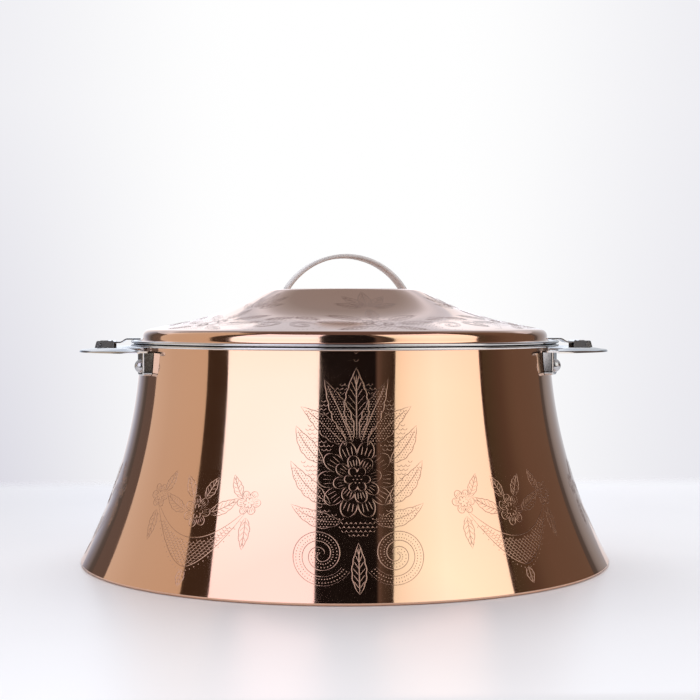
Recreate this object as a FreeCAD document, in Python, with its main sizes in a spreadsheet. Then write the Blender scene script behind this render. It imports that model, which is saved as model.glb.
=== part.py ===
"""Insulated serving pot: a flared double-walled pot with a latched, insulated lid.

The frame has its origin on the floor under the pot's axis, +Z up. The side handles lie along X.
Lengths are in millimetres and angles in degrees.
"""
import FreeCAD, Part

import os
import re
from collections import namedtuple

import Sketcher

SIZES = (
    ("base_radius", "200", "outer radius of the foot"),
    ("shell_top_radius", "155.5", "outer radius of the shell under the rim"),
    ("sweep_radius", "363", "radius of the shell's hollow flare"),
    ("rim_height", "164.2", "height of the joint between pot and lid"),
    ("shell_wall", "0.8", "sheet of the shell"),
    ("hem_width", "12", "width of the hem that the pot stands on"),
    ("hem_bend", "2", "outer bend of the hem"),
    ("liner_wall", "0.8", "sheet of the liner and of the lid's pan"),
    ("bead_overhang", "3.5", "reach of the rolled beads past the shell"),
    ("bead_radius", "0.95", "radius of a rolled bead's section"),
    ("bead_gap", "0.35", "distance of each bead from the joint between pot and lid"),
    ("bead_slope", "1.6", "run over which a flange draws away from the joint to its bead"),
    ("mouth_inset", "9.5", "step from the shell in to the liner's mouth"),
    ("mouth_bend", "3", "bend between the liner's wall and its rim"),
    ("liner_taper", "9", "amount that the liner narrows from mouth to floor"),
    ("floor_height", "18", "height of the liner's floor above the table"),
    ("floor_bend", "22", "inner bend between the liner's wall and floor"),
    ("base_wall", "0.8", "sheet of the base plate"),
    ("base_fit", "0.5", "gap round the base plate inside the hem"),
    ("base_ledge", "32", "width of the base plate's low ring"),
    ("base_press_depth", "3", "rise of the base plate's middle"),
    ("foam_gap", "0.4", "gap between insulation and sheet"),
    ("foam_room", "12.6", "room left between the pot's insulation and the rivet washers"),
    ("plug_gap", "1.5", "gap between the lid's plug and the mouth"),
    ("plug_depth", "12", "depth of the lid's plug below the rim"),
    ("plug_bend", "8", "outer bend at the foot of the plug"),
    ("plug_lip", "2", "bend between the plug and the lid's flange"),
    ("cover_wall", "0.8", "sheet of the lid's skin"),
    ("band_inset", "5.3", "step from the beads in to the lid's upright band"),
    ("band_flare", "2", "bend that turns the band's foot out onto the lid's flange"),
    ("band_lip", "0.6", "straight lip past the bend at the band's foot"),
    ("shoulder_rise", "9.7", "height of the band's corner above the rim"),
    ("shoulder_bend", "5.5", "bend of the corner above the band"),
    ("knee_run", "59.7", "run of the lid's gentle slope"),
    ("knee_rise", "11.9", "rise of the lid's gentle slope"),
    ("knee_bend", "60", "hollow bend between the two slopes"),
    ("crown_run", "37", "run of the lid's steep slope"),
    ("crown_rise", "19.1", "rise of the lid's steep slope"),
    ("crown_bend", "12", "bend of the crown's edge"),
    ("recess_rim", "4.5", "width of the rim round the crown's recess"),
    ("recess_depth", "3.5", "depth of the crown's recess"),
    ("recess_bend", "1", "bends of the recess"),
    ("lid_turn", "6.5", "turn of the strap handle about the pot's axis"),
    ("strap_rise", "27", "height of the strap handle above the crown"),
    ("strap_spring", "4.4", "height of the strap's straight legs"),
    ("strap_inset", "2.6", "gap between the strap's legs and the recess's wall"),
    ("strap_wall", "3", "thickness of the strap"),
    ("strap_width", "20", "width of the strap"),
    ("strap_edge", "1.3", "rounding of the arch's long edges"),
    ("strap_foot", "18", "length of the strap's feet"),
    ("strap_foot_wall", "2", "thickness of the strap's feet"),
    ("strap_heel", "2", "bend between the strap's leg and foot"),
    ("lid_rivet_setback", "10.5", "distance of the lid's rivets from the strap's legs"),
    ("lid_rivet_radius", "1.75", "shank of the lid's rivets"),
    ("lid_rivet_head", "3.5", "head radius of the lid's rivets"),
    ("lid_rivet_dome", "1.3", "head height of the lid's rivets"),
    ("lid_washer_radius", "5", "radius of the lid's washers"),
    ("washer_wall", "1", "thickness of the washers"),
    ("rivet_fit", "0.1", "radial gap between a rivet's shank and its holes"),
    ("tail_wall", "1.2", "thickness of the rivets' closed ends"),
    ("tail_spread", "1.2", "reach of the closed ends past the shanks"),
    ("grip_projection", "46", "reach of a side handle past the shell"),
    ("grip_width", "24", "width of a side handle's channel"),
    ("grip_drop", "4.8", "depth of a side handle's upper face below the rim"),
    ("grip_arc", "66", "radius of the side handle's loop at mid-width"),
    ("grip_overrun", "20", "angle that the loop runs on past its feet, into the shell's curve"),
    ("grip_wall", "1.2", "sheet of the side handles"),
    ("grip_lip", "1.7", "depth of the handle's turned-down edges"),
    ("grip_shoulder", "1.4", "outer bend of the turned-down edges"),
    ("foot_standoff", "6.9", "distance of a foot's outer face from the shell"),
    ("foot_width", "15", "width of a handle's foot"),
    ("foot_below", "6.8", "reach of a foot below its rivet"),
    ("foot_corner", "4", "corner radius of a foot's lower end"),
    ("end_margin", "1", "reach of the loop's trimmed ends past the sides of its feet"),
    ("seat_gap", "0.3", "gap between a foot's flange and the shell"),
    ("trim_margin", "4", "reach of the trimming form past the handle"),
    ("rivet_drop", "15.6", "depth of the handle rivets below the rim"),
    ("rivet_radius", "2.4", "shank of the handle rivets"),
    ("rivet_head", "5", "head radius of the handle rivets"),
    ("rivet_dome", "4", "head height of the handle rivets"),
    ("washer_radius", "6", "radius of the handle rivets' washers"),
    ("washer_seat", "0.1", "gap between a washer and the shell"),
    ("pin_inset", "15.3", "distance of a latch pin from the handle's outer edge"),
    ("pin_radius", "1.25", "radius of a latch pin"),
    ("pin_fit", "0.05", "running gap round a latch pin"),
    ("pin_head", "2", "radius of a latch pin's heads"),
    ("pin_head_wall", "0.8", "thickness of a latch pin's heads"),
    ("knuckle_wall", "1", "sheet round the pin in the lever's knuckle"),
    ("latch_gap", "0.3", "gap round a lever, and over the lid's bead"),
    ("lever_width", "20", "width of a latch lever"),
    ("lever_wall", "1.1", "sheet of a latch lever"),
    ("step_clear", "6", "distance of the lever's step from the beads"),
    ("step_run", "6", "run of the lever's step"),
    ("step_bend", "1.6", "inner bends of the lever's step"),
    ("tongue_gap", "1.2", "gap between the tongue's tip and the lid's band"),
    ("rib_setback", "9.8", "distance of the lever's inner rib from its pin"),
    ("rib_pitch", "3.4", "distance between the lever's ribs"),
    ("rib_half", "1.15", "half the width of a rib"),
    ("rib_rise", "1.05", "height of the lever's ribs"),
    ("bracket_wall", "1", "sheet of a latch bracket"),
    ("bracket_lead", "4.2", "distance of a bracket's inner end from the lever's step"),
    ("bracket_nose", "3.4", "reach of a bracket past its pin"),
    ("ear_rise", "0.6", "height of the bracket's ears above the lever"),
    ("ear_lean", "1.8", "amount that the outer ends of the ears lean in"),
    ("ear_bend", "1.2", "outer corner radius of the bracket's ears"),
    ("ear_inner_bend", "0.6", "inner corner radius of the bracket's ears"),
    ("bracket_rivet_setback", "4.4", "distance of the bracket's rivets from its pin"),
    ("bracket_rivet_side", "6", "distance of the bracket's rivets from its middle"),
    ("bracket_rivet_radius", "1.2", "shank of the bracket's rivets"),
    ("bracket_rivet_head", "2.2", "head radius of the bracket's rivets"),
    ("bracket_rivet_dome", "1", "head height of the bracket's rivets"),
    ("bracket_tail_wall", "0.8", "thickness of the bracket rivets' closed ends"),
)

FORMULAS = (
    ("shell_top", "=rim_height - liner_wall", "height of the shell's upper edge"),
    ("chord_r", "=base_radius - shell_top_radius", "run of the flare's chord"),
    ("chord_z", "=shell_top - hem_bend", "rise of the flare's chord"),
    ("chord", "=sqrt(chord_r^2 + chord_z^2)", "length of the flare's chord"),
    ("sweep_back", "=sqrt(sweep_radius^2 - chord^2 / 4)", "distance of the flare's centre from its chord"),
    ("sweep_center_r", "=(base_radius + shell_top_radius) / 2 + sweep_back * chord_z / chord",
     "radius of the flare's centre"),
    ("sweep_center_z", "=(shell_top + hem_bend) / 2 + sweep_back * chord_r / chord",
     "height of the flare's centre"),
    ("bead_reach", "=shell_top_radius + bead_overhang", "outer radius of the rolled beads"),
    ("bead_center", "=bead_reach - bead_radius", "radius of the beads' centre line"),
    ("bead_root", "=bead_center - sqrt(bead_radius^2 - (bead_gap + bead_radius - liner_wall)^2)",
     "radius where a bead closes on its flange"),
    ("bead_turn", "=bead_center - bead_slope", "radius where a flange draws away from the joint"),
    ("mouth_radius", "=shell_top_radius - mouth_inset", "inner radius of the liner at its mouth"),
    ("floor_radius", "=mouth_radius - liner_taper", "inner radius of the liner at its floor"),
    ("floor_under", "=floor_height - liner_wall", "height of the liner's underside"),
    ("base_press_radius", "=base_radius - base_ledge", "radius of the base plate's raised middle"),
    ("base_low", "=shell_wall + base_wall", "height of the base plate's upper face on the hem"),
    ("base_high", "=base_low + base_press_depth", "height of the base plate's raised middle"),
    ("rivet_height", "=rim_height - rivet_drop", "height of the handle rivets"),
    ("foam_top", "=rivet_height - washer_radius - foam_room", "height of the pot's insulation"),
    ("shell_inset", "=shell_wall + foam_gap", "distance of the pot's insulation from the shell's face"),
    ("cover_inset", "=cover_wall + foam_gap", "distance of the lid's insulation from the skin's face"),
    ("plug_radius", "=mouth_radius - plug_gap", "outer radius of the lid's plug"),
    ("plug_floor", "=rim_height - plug_depth", "height of the plug's underside"),
    ("pan_top", "=plug_floor + liner_wall", "height of the pan's floor"),
    ("flange_top", "=rim_height + liner_wall", "height of the lid's flange"),
    ("band_radius", "=bead_reach - band_inset", "outer radius of the lid's upright band"),
    ("band_edge", "=band_radius + band_flare + band_lip", "outer radius of the band's flared foot"),
    ("shoulder_height", "=rim_height + shoulder_rise", "height of the corner above the band"),
    ("knee_radius", "=band_radius - knee_run", "radius where the lid's slope grows steeper"),
    ("knee_height", "=shoulder_height + knee_rise", "height where the lid's slope grows steeper"),
    ("crown_radius", "=knee_radius - crown_run", "radius of the crown's edge"),
    ("crown_height", "=knee_height + crown_rise", "height of the crown"),
    ("recess_radius", "=crown_radius - recess_rim", "upper radius of the crown's recess"),
    ("recess_foot", "=recess_radius - recess_depth", "lower radius of the crown's recess"),
    ("recess_floor", "=crown_height - recess_depth", "height of the recess's floor"),
    ("strap_leg", "=recess_foot - strap_inset", "distance of the strap's legs from the axis"),
    ("strap_top", "=crown_height + strap_rise", "height of the strap handle's top"),
    ("arch_foot", "=recess_floor + strap_spring", "height where the arch springs from its legs"),
    ("arch_rise", "=strap_top - arch_foot", "rise of the arch"),
    ("strap_radius", "=(strap_leg^2 + arch_rise^2) / (2 * arch_rise)", "outer radius of the arch"),
    ("strap_center", "=strap_top - strap_radius", "height of the arch's centre"),
    ("lid_rivet_reach", "=strap_leg - lid_rivet_setback", "distance of the lid's rivets from the axis"),
    ("lid_tail", "=recess_floor - cover_wall - washer_wall", "height of the lid rivets' closed ends"),
    ("lid_foam_top", "=lid_tail - tail_wall - foam_gap", "height of the lid's insulation"),
    ("grip_reach", "=shell_top_radius + grip_projection", "distance of a handle's outer edge from the axis"),
    ("grip_top", "=rim_height - grip_drop", "height of a side handle's upper face"),
    ("grip_center", "=grip_reach - grip_width / 2 - grip_arc", "centre of a handle's loop"),
    ("shell_at_rivet", "=sweep_center_r - sqrt(sweep_radius^2 - (sweep_center_z - rivet_height)^2)",
     "outer radius of the shell at the handle rivets"),
    ("foot_reach", "=shell_at_rivet + foot_standoff", "distance of a foot's outer face from the axis"),
    ("foot_line", "=shell_at_rivet + foot_standoff / 2", "distance of a foot's middle from the axis"),
    ("foot_turn",
     "=acos((foot_line^2 + grip_center^2 - grip_arc^2) / (2 * foot_line * grip_center)) / 1 deg",
     "angle of a foot from the X axis, where the loop meets the foot's middle"),
    ("grip_half", "=atan2(foot_line * sin(foot_turn); foot_line * cos(foot_turn) - grip_center) / 1 deg",
     "angle at the loop's centre from its middle to a foot"),
    ("grip_sweep", "=2 * (grip_half + grip_overrun)", "angle that the loop spans before it is trimmed"),
    ("washer_high",
     "=sweep_center_r - sqrt(sweep_radius^2 - (sweep_center_z - rivet_height - washer_radius)^2)",
     "outer radius of the shell at the washers' upper edge"),
    ("washer_low",
     "=sweep_center_r - sqrt(sweep_radius^2 - (sweep_center_z - rivet_height + washer_radius)^2)",
     "outer radius of the shell at the washers' lower edge"),
    ("washer_side", "=sqrt(shell_at_rivet^2 - washer_radius^2)",
     "distance of the shell's face from the axis beside the washers"),
    ("washer_face", "=min(washer_high; washer_low; washer_side) - shell_wall - washer_seat",
     "distance of a washer's outer face from the axis"),
    ("foot_bottom", "=rivet_height - foot_below", "height of a foot's lower end"),
    ("foot_depth", "=2 * foot_standoff", "depth of the blank that a foot is trimmed from"),
    ("pin_reach", "=grip_reach - pin_inset", "distance of a latch pin from the axis"),
    ("knuckle_radius", "=pin_radius + pin_fit + knuckle_wall", "outer radius of a lever's knuckle"),
    ("bracket_floor", "=grip_top + bracket_wall", "height of a bracket's floor"),
    ("pin_height", "=bracket_floor + latch_gap + knuckle_radius", "height of a latch pin"),
    ("lever_top", "=pin_height + knuckle_radius", "height of a lever's upper face"),
    ("lever_under", "=lever_top - lever_wall", "height of a lever's lower face"),
    ("knuckle_root", "=pin_reach - sqrt(knuckle_radius^2 - (knuckle_radius - lever_wall)^2)",
     "distance from the axis where a lever leaves its knuckle"),
    ("tongue_under", "=rim_height + bead_gap + 2 * bead_radius + latch_gap",
     "height of the tongue's lower face"),
    ("tongue_top", "=tongue_under + lever_wall", "height of the tongue's upper face"),
    ("tongue_tip", "=band_radius + tongue_gap", "distance of the tongue's tip from the axis"),
    ("step_end", "=bead_reach + step_clear", "distance of the step's upper end from the axis"),
    ("step_start", "=step_end + step_run", "distance of the step's lower end from the axis"),
    ("step_shift", "=lever_wall * tan(atan2(tongue_top - lever_top; step_run) / 2)",
     "shift of the step's corners between the sheet's two faces"),
    ("bracket_inner", "=step_start + bracket_lead", "distance of a bracket's inner end from the axis"),
    ("bracket_outer", "=pin_reach + bracket_nose", "distance of a bracket's outer end from the axis"),
    ("bracket_rivet_reach", "=pin_reach - bracket_rivet_setback", "distance of its rivets from the axis"),
    ("rib_reach", "=pin_reach - rib_setback", "distance of the lever's inner rib from the axis"),
    ("rib_arc", "=(rib_half^2 + rib_rise^2) / (2 * rib_rise)", "radius of a rib's rounding"),
    ("ear_top", "=lever_top + ear_rise", "height of the bracket's ears"),
    ("ear_inside", "=lever_width / 2 + latch_gap", "distance of an ear's inner face from the middle"),
    ("ear_outside", "=ear_inside + bracket_wall", "distance of an ear's outer face from the middle"),
)

ALIASES = [row[0] for row in SIZES + FORMULAS]
ALIAS_PATTERN = re.compile(r"\b(?:%s)\b" % "|".join(ALIASES))
FULL_TURN = 360
QUARTER_TURN = 90
RIGHT_SIDE = 0
LEFT_SIDE = 180
ZERO = 1e-9

Corner = namedtuple("Corner", "x y round arc turn long", defaults=(None, None, "left", False))

doc = FreeCAD.newDocument("serving_pot")
sheet = doc.addObject("Spreadsheet::Sheet", "Sizes")
for row_number, (alias, content, meaning) in enumerate(SIZES + FORMULAS, start=1):
    sheet.set(f"A{row_number}", meaning)
    sheet.set(f"B{row_number}", content)
    sheet.setAlias(f"B{row_number}", alias)
doc.recompute()


def tie(expression):
    """The expression with each size's name turned into its cell of the sheet."""
    return ALIAS_PATTERN.sub(r"Sizes.\g<0>", expression)


def value(expression):
    """The number that an expression over the sizes gives."""
    return float(sheet.evalExpression(tie(expression)))


def wall_at(height):
    """Outer radius of the shell's flare at a height, as an expression."""
    return f"(sweep_center_r - sqrt(sweep_radius^2 - (sweep_center_z - ({height}))^2))"


def liner_at(height):
    """Outer radius of the liner's tapered wall at a height, as an expression."""
    taper = "(mouth_radius - floor_radius) / (rim_height - floor_height)"
    return f"(floor_radius + liner_wall + {taper} * ({height} - floor_under))"


def slope_at(radius):
    """Height of the lid's outer slope at a radius, as an expression."""
    fall = "(knee_height - shoulder_height) / (band_radius - knee_radius)"
    return f"(shoulder_height + {fall} * (band_radius - ({radius})))"


def steep_at(height):
    """Radius of the lid's steep slope at a height, as an expression."""
    run = "(knee_radius - crown_radius) / (crown_height - knee_height)"
    return f"(crown_radius + {run} * (crown_height - ({height})))"


def new_body(name):
    """An empty body that is labelled with its node's name."""
    body = doc.addObject("PartDesign::Body", name)
    body.Label = name
    return body


def sketch_on(body, role, name, offset=None):
    """A sketch on one of the body's own origin planes, moved off it by a placement expression."""
    sketch = body.newObject("Sketcher::SketchObject", name)
    plane = next(item for item in body.Origin.OriginFeatures if item.Role == role)
    sketch.AttachmentSupport = [(plane, "")]
    sketch.MapMode = "FlatFace"
    if offset:
        sketch.setExpression("AttachmentOffset", tie(offset))
    return sketch


def hold_size(sketch, constraint, expression):
    """Adds a constraint and ties its size to an expression."""
    index = sketch.addConstraint(constraint)
    sketch.setExpression(f"Constraints[{index}]", tie(expression))


def hold_point(sketch, geometry, position, x, y):
    """Holds a point at two expressions, measured from the sketch's origin."""
    for kind, axis, text in (("DistanceX", -2, x), ("DistanceY", -1, y)):
        distance = value(text)
        if abs(distance) < ZERO:
            sketch.addConstraint(Sketcher.Constraint("PointOnObject", geometry, position, axis))
        elif distance > 0:
            hold_size(sketch, Sketcher.Constraint(kind, -1, 1, geometry, position, distance), text)
        else:
            hold_size(sketch, Sketcher.Constraint(kind, geometry, position, -1, 1, -distance), f"-({text})")


def add_arc(sketch, start, end, radius, turn, long):
    """Adds an arc from start to end; gives its index and the positions of its two ends."""
    chord = end - start
    side = FreeCAD.Vector(-chord.y, chord.x, 0).normalize()
    back = max(radius * radius - chord.Length ** 2 / 4, 0) ** 0.5
    leftwards = (turn == "left") != long
    center = (start + end) / 2 + side * (back if leftwards else -back)
    circle = Part.Circle(center, FreeCAD.Vector(0, 0, 1), radius)
    first, last = (start, end) if turn == "left" else (end, start)
    arc = Part.ArcOfCircle(circle, circle.parameter(first), circle.parameter(last))
    positions = (1, 2) if turn == "left" else (2, 1)
    return (sketch.addGeometry(arc, False), *positions)


def rounding(before, spot, after, radius):
    """Where a rounded corner leaves its two straight edges, and which way it turns."""
    arriving = (before - spot).normalize()
    leaving = (after - spot).normalize()
    setback = radius / FreeCAD.Vector(arriving).cross(leaving).Length * (1 + arriving.dot(leaving))
    turn = "left" if arriving.cross(leaving).z < 0 else "right"
    return spot + arriving * setback, spot + leaving * setback, turn


def outline(sketch, corners):
    """Adds a closed outline of straight and arc edges, with corners rounded where they say so."""
    count = len(corners)
    spots = [FreeCAD.Vector(value(corner.x), value(corner.y), 0) for corner in corners]
    bends = {}
    for index, corner in enumerate(corners):
        if corner.round:
            neighbours = (spots[index - 1], spots[index], spots[(index + 1) % count])
            bends[index] = rounding(*neighbours, value(corner.round))
    edges = []
    for index, corner in enumerate(corners):
        following = (index + 1) % count
        start = bends[index][1] if index in bends else spots[index]
        end = bends[following][0] if following in bends else spots[following]
        if corner.arc:
            edge = add_arc(sketch, start, end, value(corner.arc), corner.turn, corner.long)
            hold_size(sketch, Sketcher.Constraint("Radius", edge[0], value(corner.arc)), corner.arc)
        else:
            edge = (sketch.addGeometry(Part.LineSegment(start, end), False), 1, 2)
        edges.append(edge)
    for index, corner in enumerate(corners):
        arriving = edges[index - 1]
        leaving = edges[index]
        if index not in bends:
            joint = Sketcher.Constraint("Coincident", arriving[0], arriving[2], leaving[0], leaving[1])
            sketch.addConstraint(joint)
            hold_point(sketch, leaving[0], leaving[1], corner.x, corner.y)
            continue
        start, end, turn = bends[index]
        bend = add_arc(sketch, start, end, value(corner.round), turn, False)
        spot = sketch.addGeometry(Part.Point(spots[index]), True)
        hold_point(sketch, spot, 1, corner.x, corner.y)
        sketch.addConstraint(Sketcher.Constraint("PointOnObject", spot, 1, arriving[0]))
        sketch.addConstraint(Sketcher.Constraint("PointOnObject", spot, 1, leaving[0]))
        sketch.addConstraint(Sketcher.Constraint("Tangent", arriving[0], arriving[2], bend[0], bend[1]))
        sketch.addConstraint(Sketcher.Constraint("Tangent", bend[0], bend[2], leaving[0], leaving[1]))
        hold_size(sketch, Sketcher.Constraint("Radius", bend[0], value(corner.round)), corner.round)


def ring(sketch, x, y, radius):
    """Adds a full circle to a sketch."""
    center = FreeCAD.Vector(value(x), value(y), 0)
    circle = sketch.addGeometry(Part.Circle(center, FreeCAD.Vector(0, 0, 1), value(radius)), False)
    hold_point(sketch, circle, 3, x, y)
    hold_size(sketch, Sketcher.Constraint("Radius", circle, value(radius)), radius)


def turned(body, name, corners, kind="PartDesign::Revolution"):
    """A full turn of an outline about the body's vertical axis."""
    sketch = sketch_on(body, "XZ_Plane", name + "_outline")
    outline(sketch, corners)
    feature = body.newObject(kind, name)
    feature.Profile = sketch
    feature.ReferenceAxis = (sketch, ["V_Axis"])
    feature.Angle = FULL_TURN
    return feature


def raised(body, sketch, name, length, kind="PartDesign::Pad", symmetric=False, backwards=False):
    """A pad or a pocket of a sketch."""
    feature = body.newObject(kind, name)
    feature.Profile = sketch
    feature.setExpression("Length", tie(length))
    feature.SideType = "Symmetric" if symmetric else "One side"
    feature.Reversed = backwards
    return feature


def group(name, members):
    """Like pieces that share one node."""
    compound = doc.addObject("Part::Compound", name)
    compound.Label = name
    compound.Links = members
    return compound


def make_outer_shell():
    """Flared shell: the foot is hemmed inwards, the upper edge stands under the liner's rim."""
    skin = new_body("shell_skin")
    turned(skin, "shell_sheet", [
        Corner("base_radius - hem_width", "0"),
        Corner("base_radius - hem_bend", "0", arc="hem_bend", turn="left"),
        Corner("base_radius", "hem_bend", arc="sweep_radius", turn="right"),
        Corner("shell_top_radius", "shell_top"),
        Corner("shell_top_radius - shell_wall", "shell_top", arc="sweep_radius", turn="left"),
        Corner("base_radius - shell_wall", "hem_bend", arc="hem_bend - shell_wall", turn="right"),
        Corner("base_radius - hem_bend", "shell_wall"),
        Corner("base_radius - hem_width", "shell_wall"),
    ])
    drills = []
    for side_turn in (RIGHT_SIDE, LEFT_SIDE):
        for foot_side in (1, -1):
            drill = doc.addObject("Part::Cylinder", f"shell_drill_{len(drills)}")
            drill.setExpression("Radius", tie("rivet_radius + rivet_fit"))
            drill.setExpression("Height", tie("foot_reach"))
            azimuth = f"{side_turn} + {foot_side} * foot_turn"
            lift = tie(f"placement(vector(0; 0; rivet_height); rotation({azimuth}; {QUARTER_TURN}; 0))")
            drill.setExpression("Placement", lift)
            drills.append(drill)
    holes = doc.addObject("Part::MultiFuse", "shell_drills")
    holes.Shapes = drills
    shell = doc.addObject("Part::Cut", "outer_shell")
    shell.Label = "outer_shell"
    shell.Base = skin
    shell.Tool = holes
    return shell


def make_inner_pot():
    """Drawn liner with a tapered wall and a rim that is rolled into a bead over the shell."""
    body = new_body("inner_pot")
    turned(body, "liner_sheet", [
        Corner("0", "floor_height"),
        Corner("0", "floor_under"),
        Corner("floor_radius + liner_wall", "floor_under", round="floor_bend + liner_wall"),
        Corner("mouth_radius + liner_wall", "shell_top", round="mouth_bend - liner_wall"),
        Corner("bead_root", "shell_top", arc="bead_radius", turn="left", long=True),
        Corner("bead_center", "rim_height - bead_gap"),
        Corner("bead_turn", "rim_height"),
        Corner("mouth_radius", "rim_height", round="mouth_bend"),
        Corner("floor_radius", "floor_height", round="floor_bend"),
    ])
    return body


def make_base_plate():
    """Pressed plate on the hem, with a raised middle that stays clear of the table."""
    body = new_body("base_plate")
    step = "base_press_radius + base_press_depth"
    edge = "base_radius - hem_bend - base_fit"
    turned(body, "base_sheet", [
        Corner("0", "base_high - base_wall"),
        Corner("base_press_radius", "base_high - base_wall"),
        Corner(step, "shell_wall"),
        Corner(edge, "shell_wall"),
        Corner(edge, "base_low"),
        Corner(step, "base_low"),
        Corner("base_press_radius", "base_high"),
        Corner("0", "base_high"),
    ])
    return body


def make_pot_insulation():
    """Foam between liner and shell, up to below the handle rivets."""
    body = new_body("pot_insulation")
    turned(body, "pot_foam", [
        Corner("0", "base_high"),
        Corner(f"{wall_at('base_high')} - shell_inset", "base_high", arc="sweep_radius", turn="right"),
        Corner(f"{wall_at('foam_top')} - shell_inset", "foam_top"),
        Corner(f"{liner_at('foam_top')} + foam_gap", "foam_top"),
        Corner(f"{liner_at('floor_under')} + foam_gap", "floor_under", round="floor_bend"),
        Corner("0", "floor_under"),
    ])
    return body


def make_lid_pan():
    """Steel pan of the lid: a plug that enters the mouth, and a flange that is rolled into a bead."""
    body = new_body("lid_pan")
    turned(body, "pan_sheet", [
        Corner("0", "pan_top"),
        Corner("0", "plug_floor"),
        Corner("plug_radius", "plug_floor", round="plug_bend"),
        Corner("plug_radius", "rim_height", round="plug_lip"),
        Corner("bead_turn", "rim_height"),
        Corner("bead_center", "rim_height + bead_gap", arc="bead_radius", turn="left", long=True),
        Corner("bead_root", "flange_top"),
        Corner("plug_radius - liner_wall", "flange_top", round="plug_lip + liner_wall"),
        Corner("plug_radius - liner_wall", "pan_top", round="plug_bend - liner_wall"),
    ])
    return body


def make_lid_cover():
    """Lid skin: upright band on a flared foot, two slopes with a hollow knee, and a recessed crown."""
    body = new_body("lid_cover")
    inner_band = "band_radius - cover_wall"
    turned(body, "cover_sheet", [
        Corner("band_edge", "flange_top"),
        Corner("band_edge", "flange_top + cover_wall"),
        Corner("band_radius", "flange_top + cover_wall", round="band_flare"),
        Corner("band_radius", "shoulder_height", round="shoulder_bend"),
        Corner("knee_radius", "knee_height", round="knee_bend"),
        Corner("crown_radius", "crown_height", round="crown_bend"),
        Corner("recess_radius", "crown_height", round="recess_bend"),
        Corner("recess_foot", "recess_floor", round="recess_bend"),
        Corner("0", "recess_floor"),
        Corner("0", "recess_floor - cover_wall"),
        Corner("recess_foot", "recess_floor - cover_wall", round="recess_bend"),
        Corner("recess_radius", "crown_height - cover_wall", round="recess_bend"),
        Corner("crown_radius", "crown_height - cover_wall", round="crown_bend - cover_wall"),
        Corner("knee_radius", "knee_height - cover_wall", round="knee_bend"),
        Corner(inner_band, "shoulder_height - cover_wall", round="shoulder_bend - cover_wall"),
        Corner(inner_band, "flange_top", round="band_flare + cover_wall"),
    ])
    drill_lid(body, "lid_turn")
    return body


def drill_lid(body, spin):
    """The two holes of the strap handle's rivets, turned about the axis by a spin."""
    aim = f"placement(vector(0; 0; crown_height); rotation({spin}; 0; 0))"
    sketch = sketch_on(body, "XY_Plane", body.Name + "_drill", aim)
    for side in ("", "-"):
        ring(sketch, side + "lid_rivet_reach", "0", "lid_rivet_radius + rivet_fit")
    raised(body, sketch, body.Name + "_holes", "crown_height - lid_tail", "PartDesign::Pocket")


def make_lid_insulation():
    """Foam between the lid's pan and its skin, below the closed ends of the rivets."""
    body = new_body("lid_insulation")
    edge = "plug_radius - liner_wall - foam_gap"
    turned(body, "lid_foam", [
        Corner("0", "pan_top"),
        Corner(f"{edge} - plug_bend", "pan_top"),
        Corner(edge, "pan_top + plug_bend"),
        Corner(edge, f"{slope_at(edge)} - cover_inset"),
        Corner("knee_radius", "knee_height - cover_inset"),
        Corner(steep_at("lid_foam_top + cover_inset"), "lid_foam_top"),
        Corner("0", "lid_foam_top"),
    ])
    return body


def make_lid_handle():
    """Strap handle: an arch on two legs, with feet turned inwards on the recess's floor."""
    body = new_body("lid_handle")
    body.setExpression("Placement", tie("placement(vector(0; 0; 0); rotation(lid_turn; 0; 0))"))
    inner_leg = "strap_leg - strap_wall"
    inner_arc = "strap_radius - strap_wall"
    inner_spring = f"strap_center + sqrt(({inner_arc})^2 - ({inner_leg})^2)"
    foot_end = "strap_leg - strap_foot"
    foot_top = "recess_floor + strap_foot_wall"
    sketch = sketch_on(body, "XZ_Plane", "strap_outline")
    outline(sketch, [
        Corner(foot_end, "recess_floor"),
        Corner("strap_leg", "recess_floor", round="strap_heel"),
        Corner("strap_leg", "arch_foot", arc="strap_radius", turn="left"),
        Corner("-strap_leg", "arch_foot"),
        Corner("-strap_leg", "recess_floor", round="strap_heel"),
        Corner(f"-({foot_end})", "recess_floor"),
        Corner(f"-({foot_end})", foot_top),
        Corner(f"-({inner_leg})", foot_top),
        Corner(f"-({inner_leg})", inner_spring, arc=inner_arc, turn="right"),
        Corner(inner_leg, inner_spring),
        Corner(inner_leg, foot_top),
        Corner(foot_end, foot_top),
    ])
    strap = raised(body, sketch, "strap", "strap_width", symmetric=True)
    doc.recompute()
    round_edges(body, strap, "strap_rounding", "strap_edge", long_strap_edge)
    drill_lid(body, "0")
    return body


def long_strap_edge(edge):
    """Whether an edge of the strap is one of the arch's long edges."""
    return edge.Curve.TypeId == "Part::GeomCircle" and edge.Length > value("strap_radius")


def round_edges(body, base, name, radius, wanted):
    """Rounds the edges of a feature that a test picks."""
    names = [f"Edge{number}" for number, edge in enumerate(base.Shape.Edges, start=1) if wanted(edge)]
    fillet = body.newObject("PartDesign::Fillet", name)
    fillet.Base = (base, names)
    fillet.setExpression("Radius", tie(radius))
    return fillet


def make_rivet(name, head, dome, shank, grip, tail_wall, place):
    """A rivet along its own Z axis: domed head above the origin, closed end at the far side."""
    body = new_body(name)
    tail = f"{shank} + tail_spread"
    turned(body, name + "_metal", [
        Corner("0", dome),
        Corner("0", f"-({grip}) - {tail_wall}"),
        Corner(tail, f"-({grip}) - {tail_wall}"),
        Corner(tail, f"-({grip})"),
        Corner(shank, f"-({grip})"),
        Corner(shank, "0"),
        Corner(head, "0", arc=f"(({head})^2 + ({dome})^2) / (2 * ({dome}))", turn="left"),
    ])
    body.setExpression("Placement", tie(place))
    return body


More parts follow.
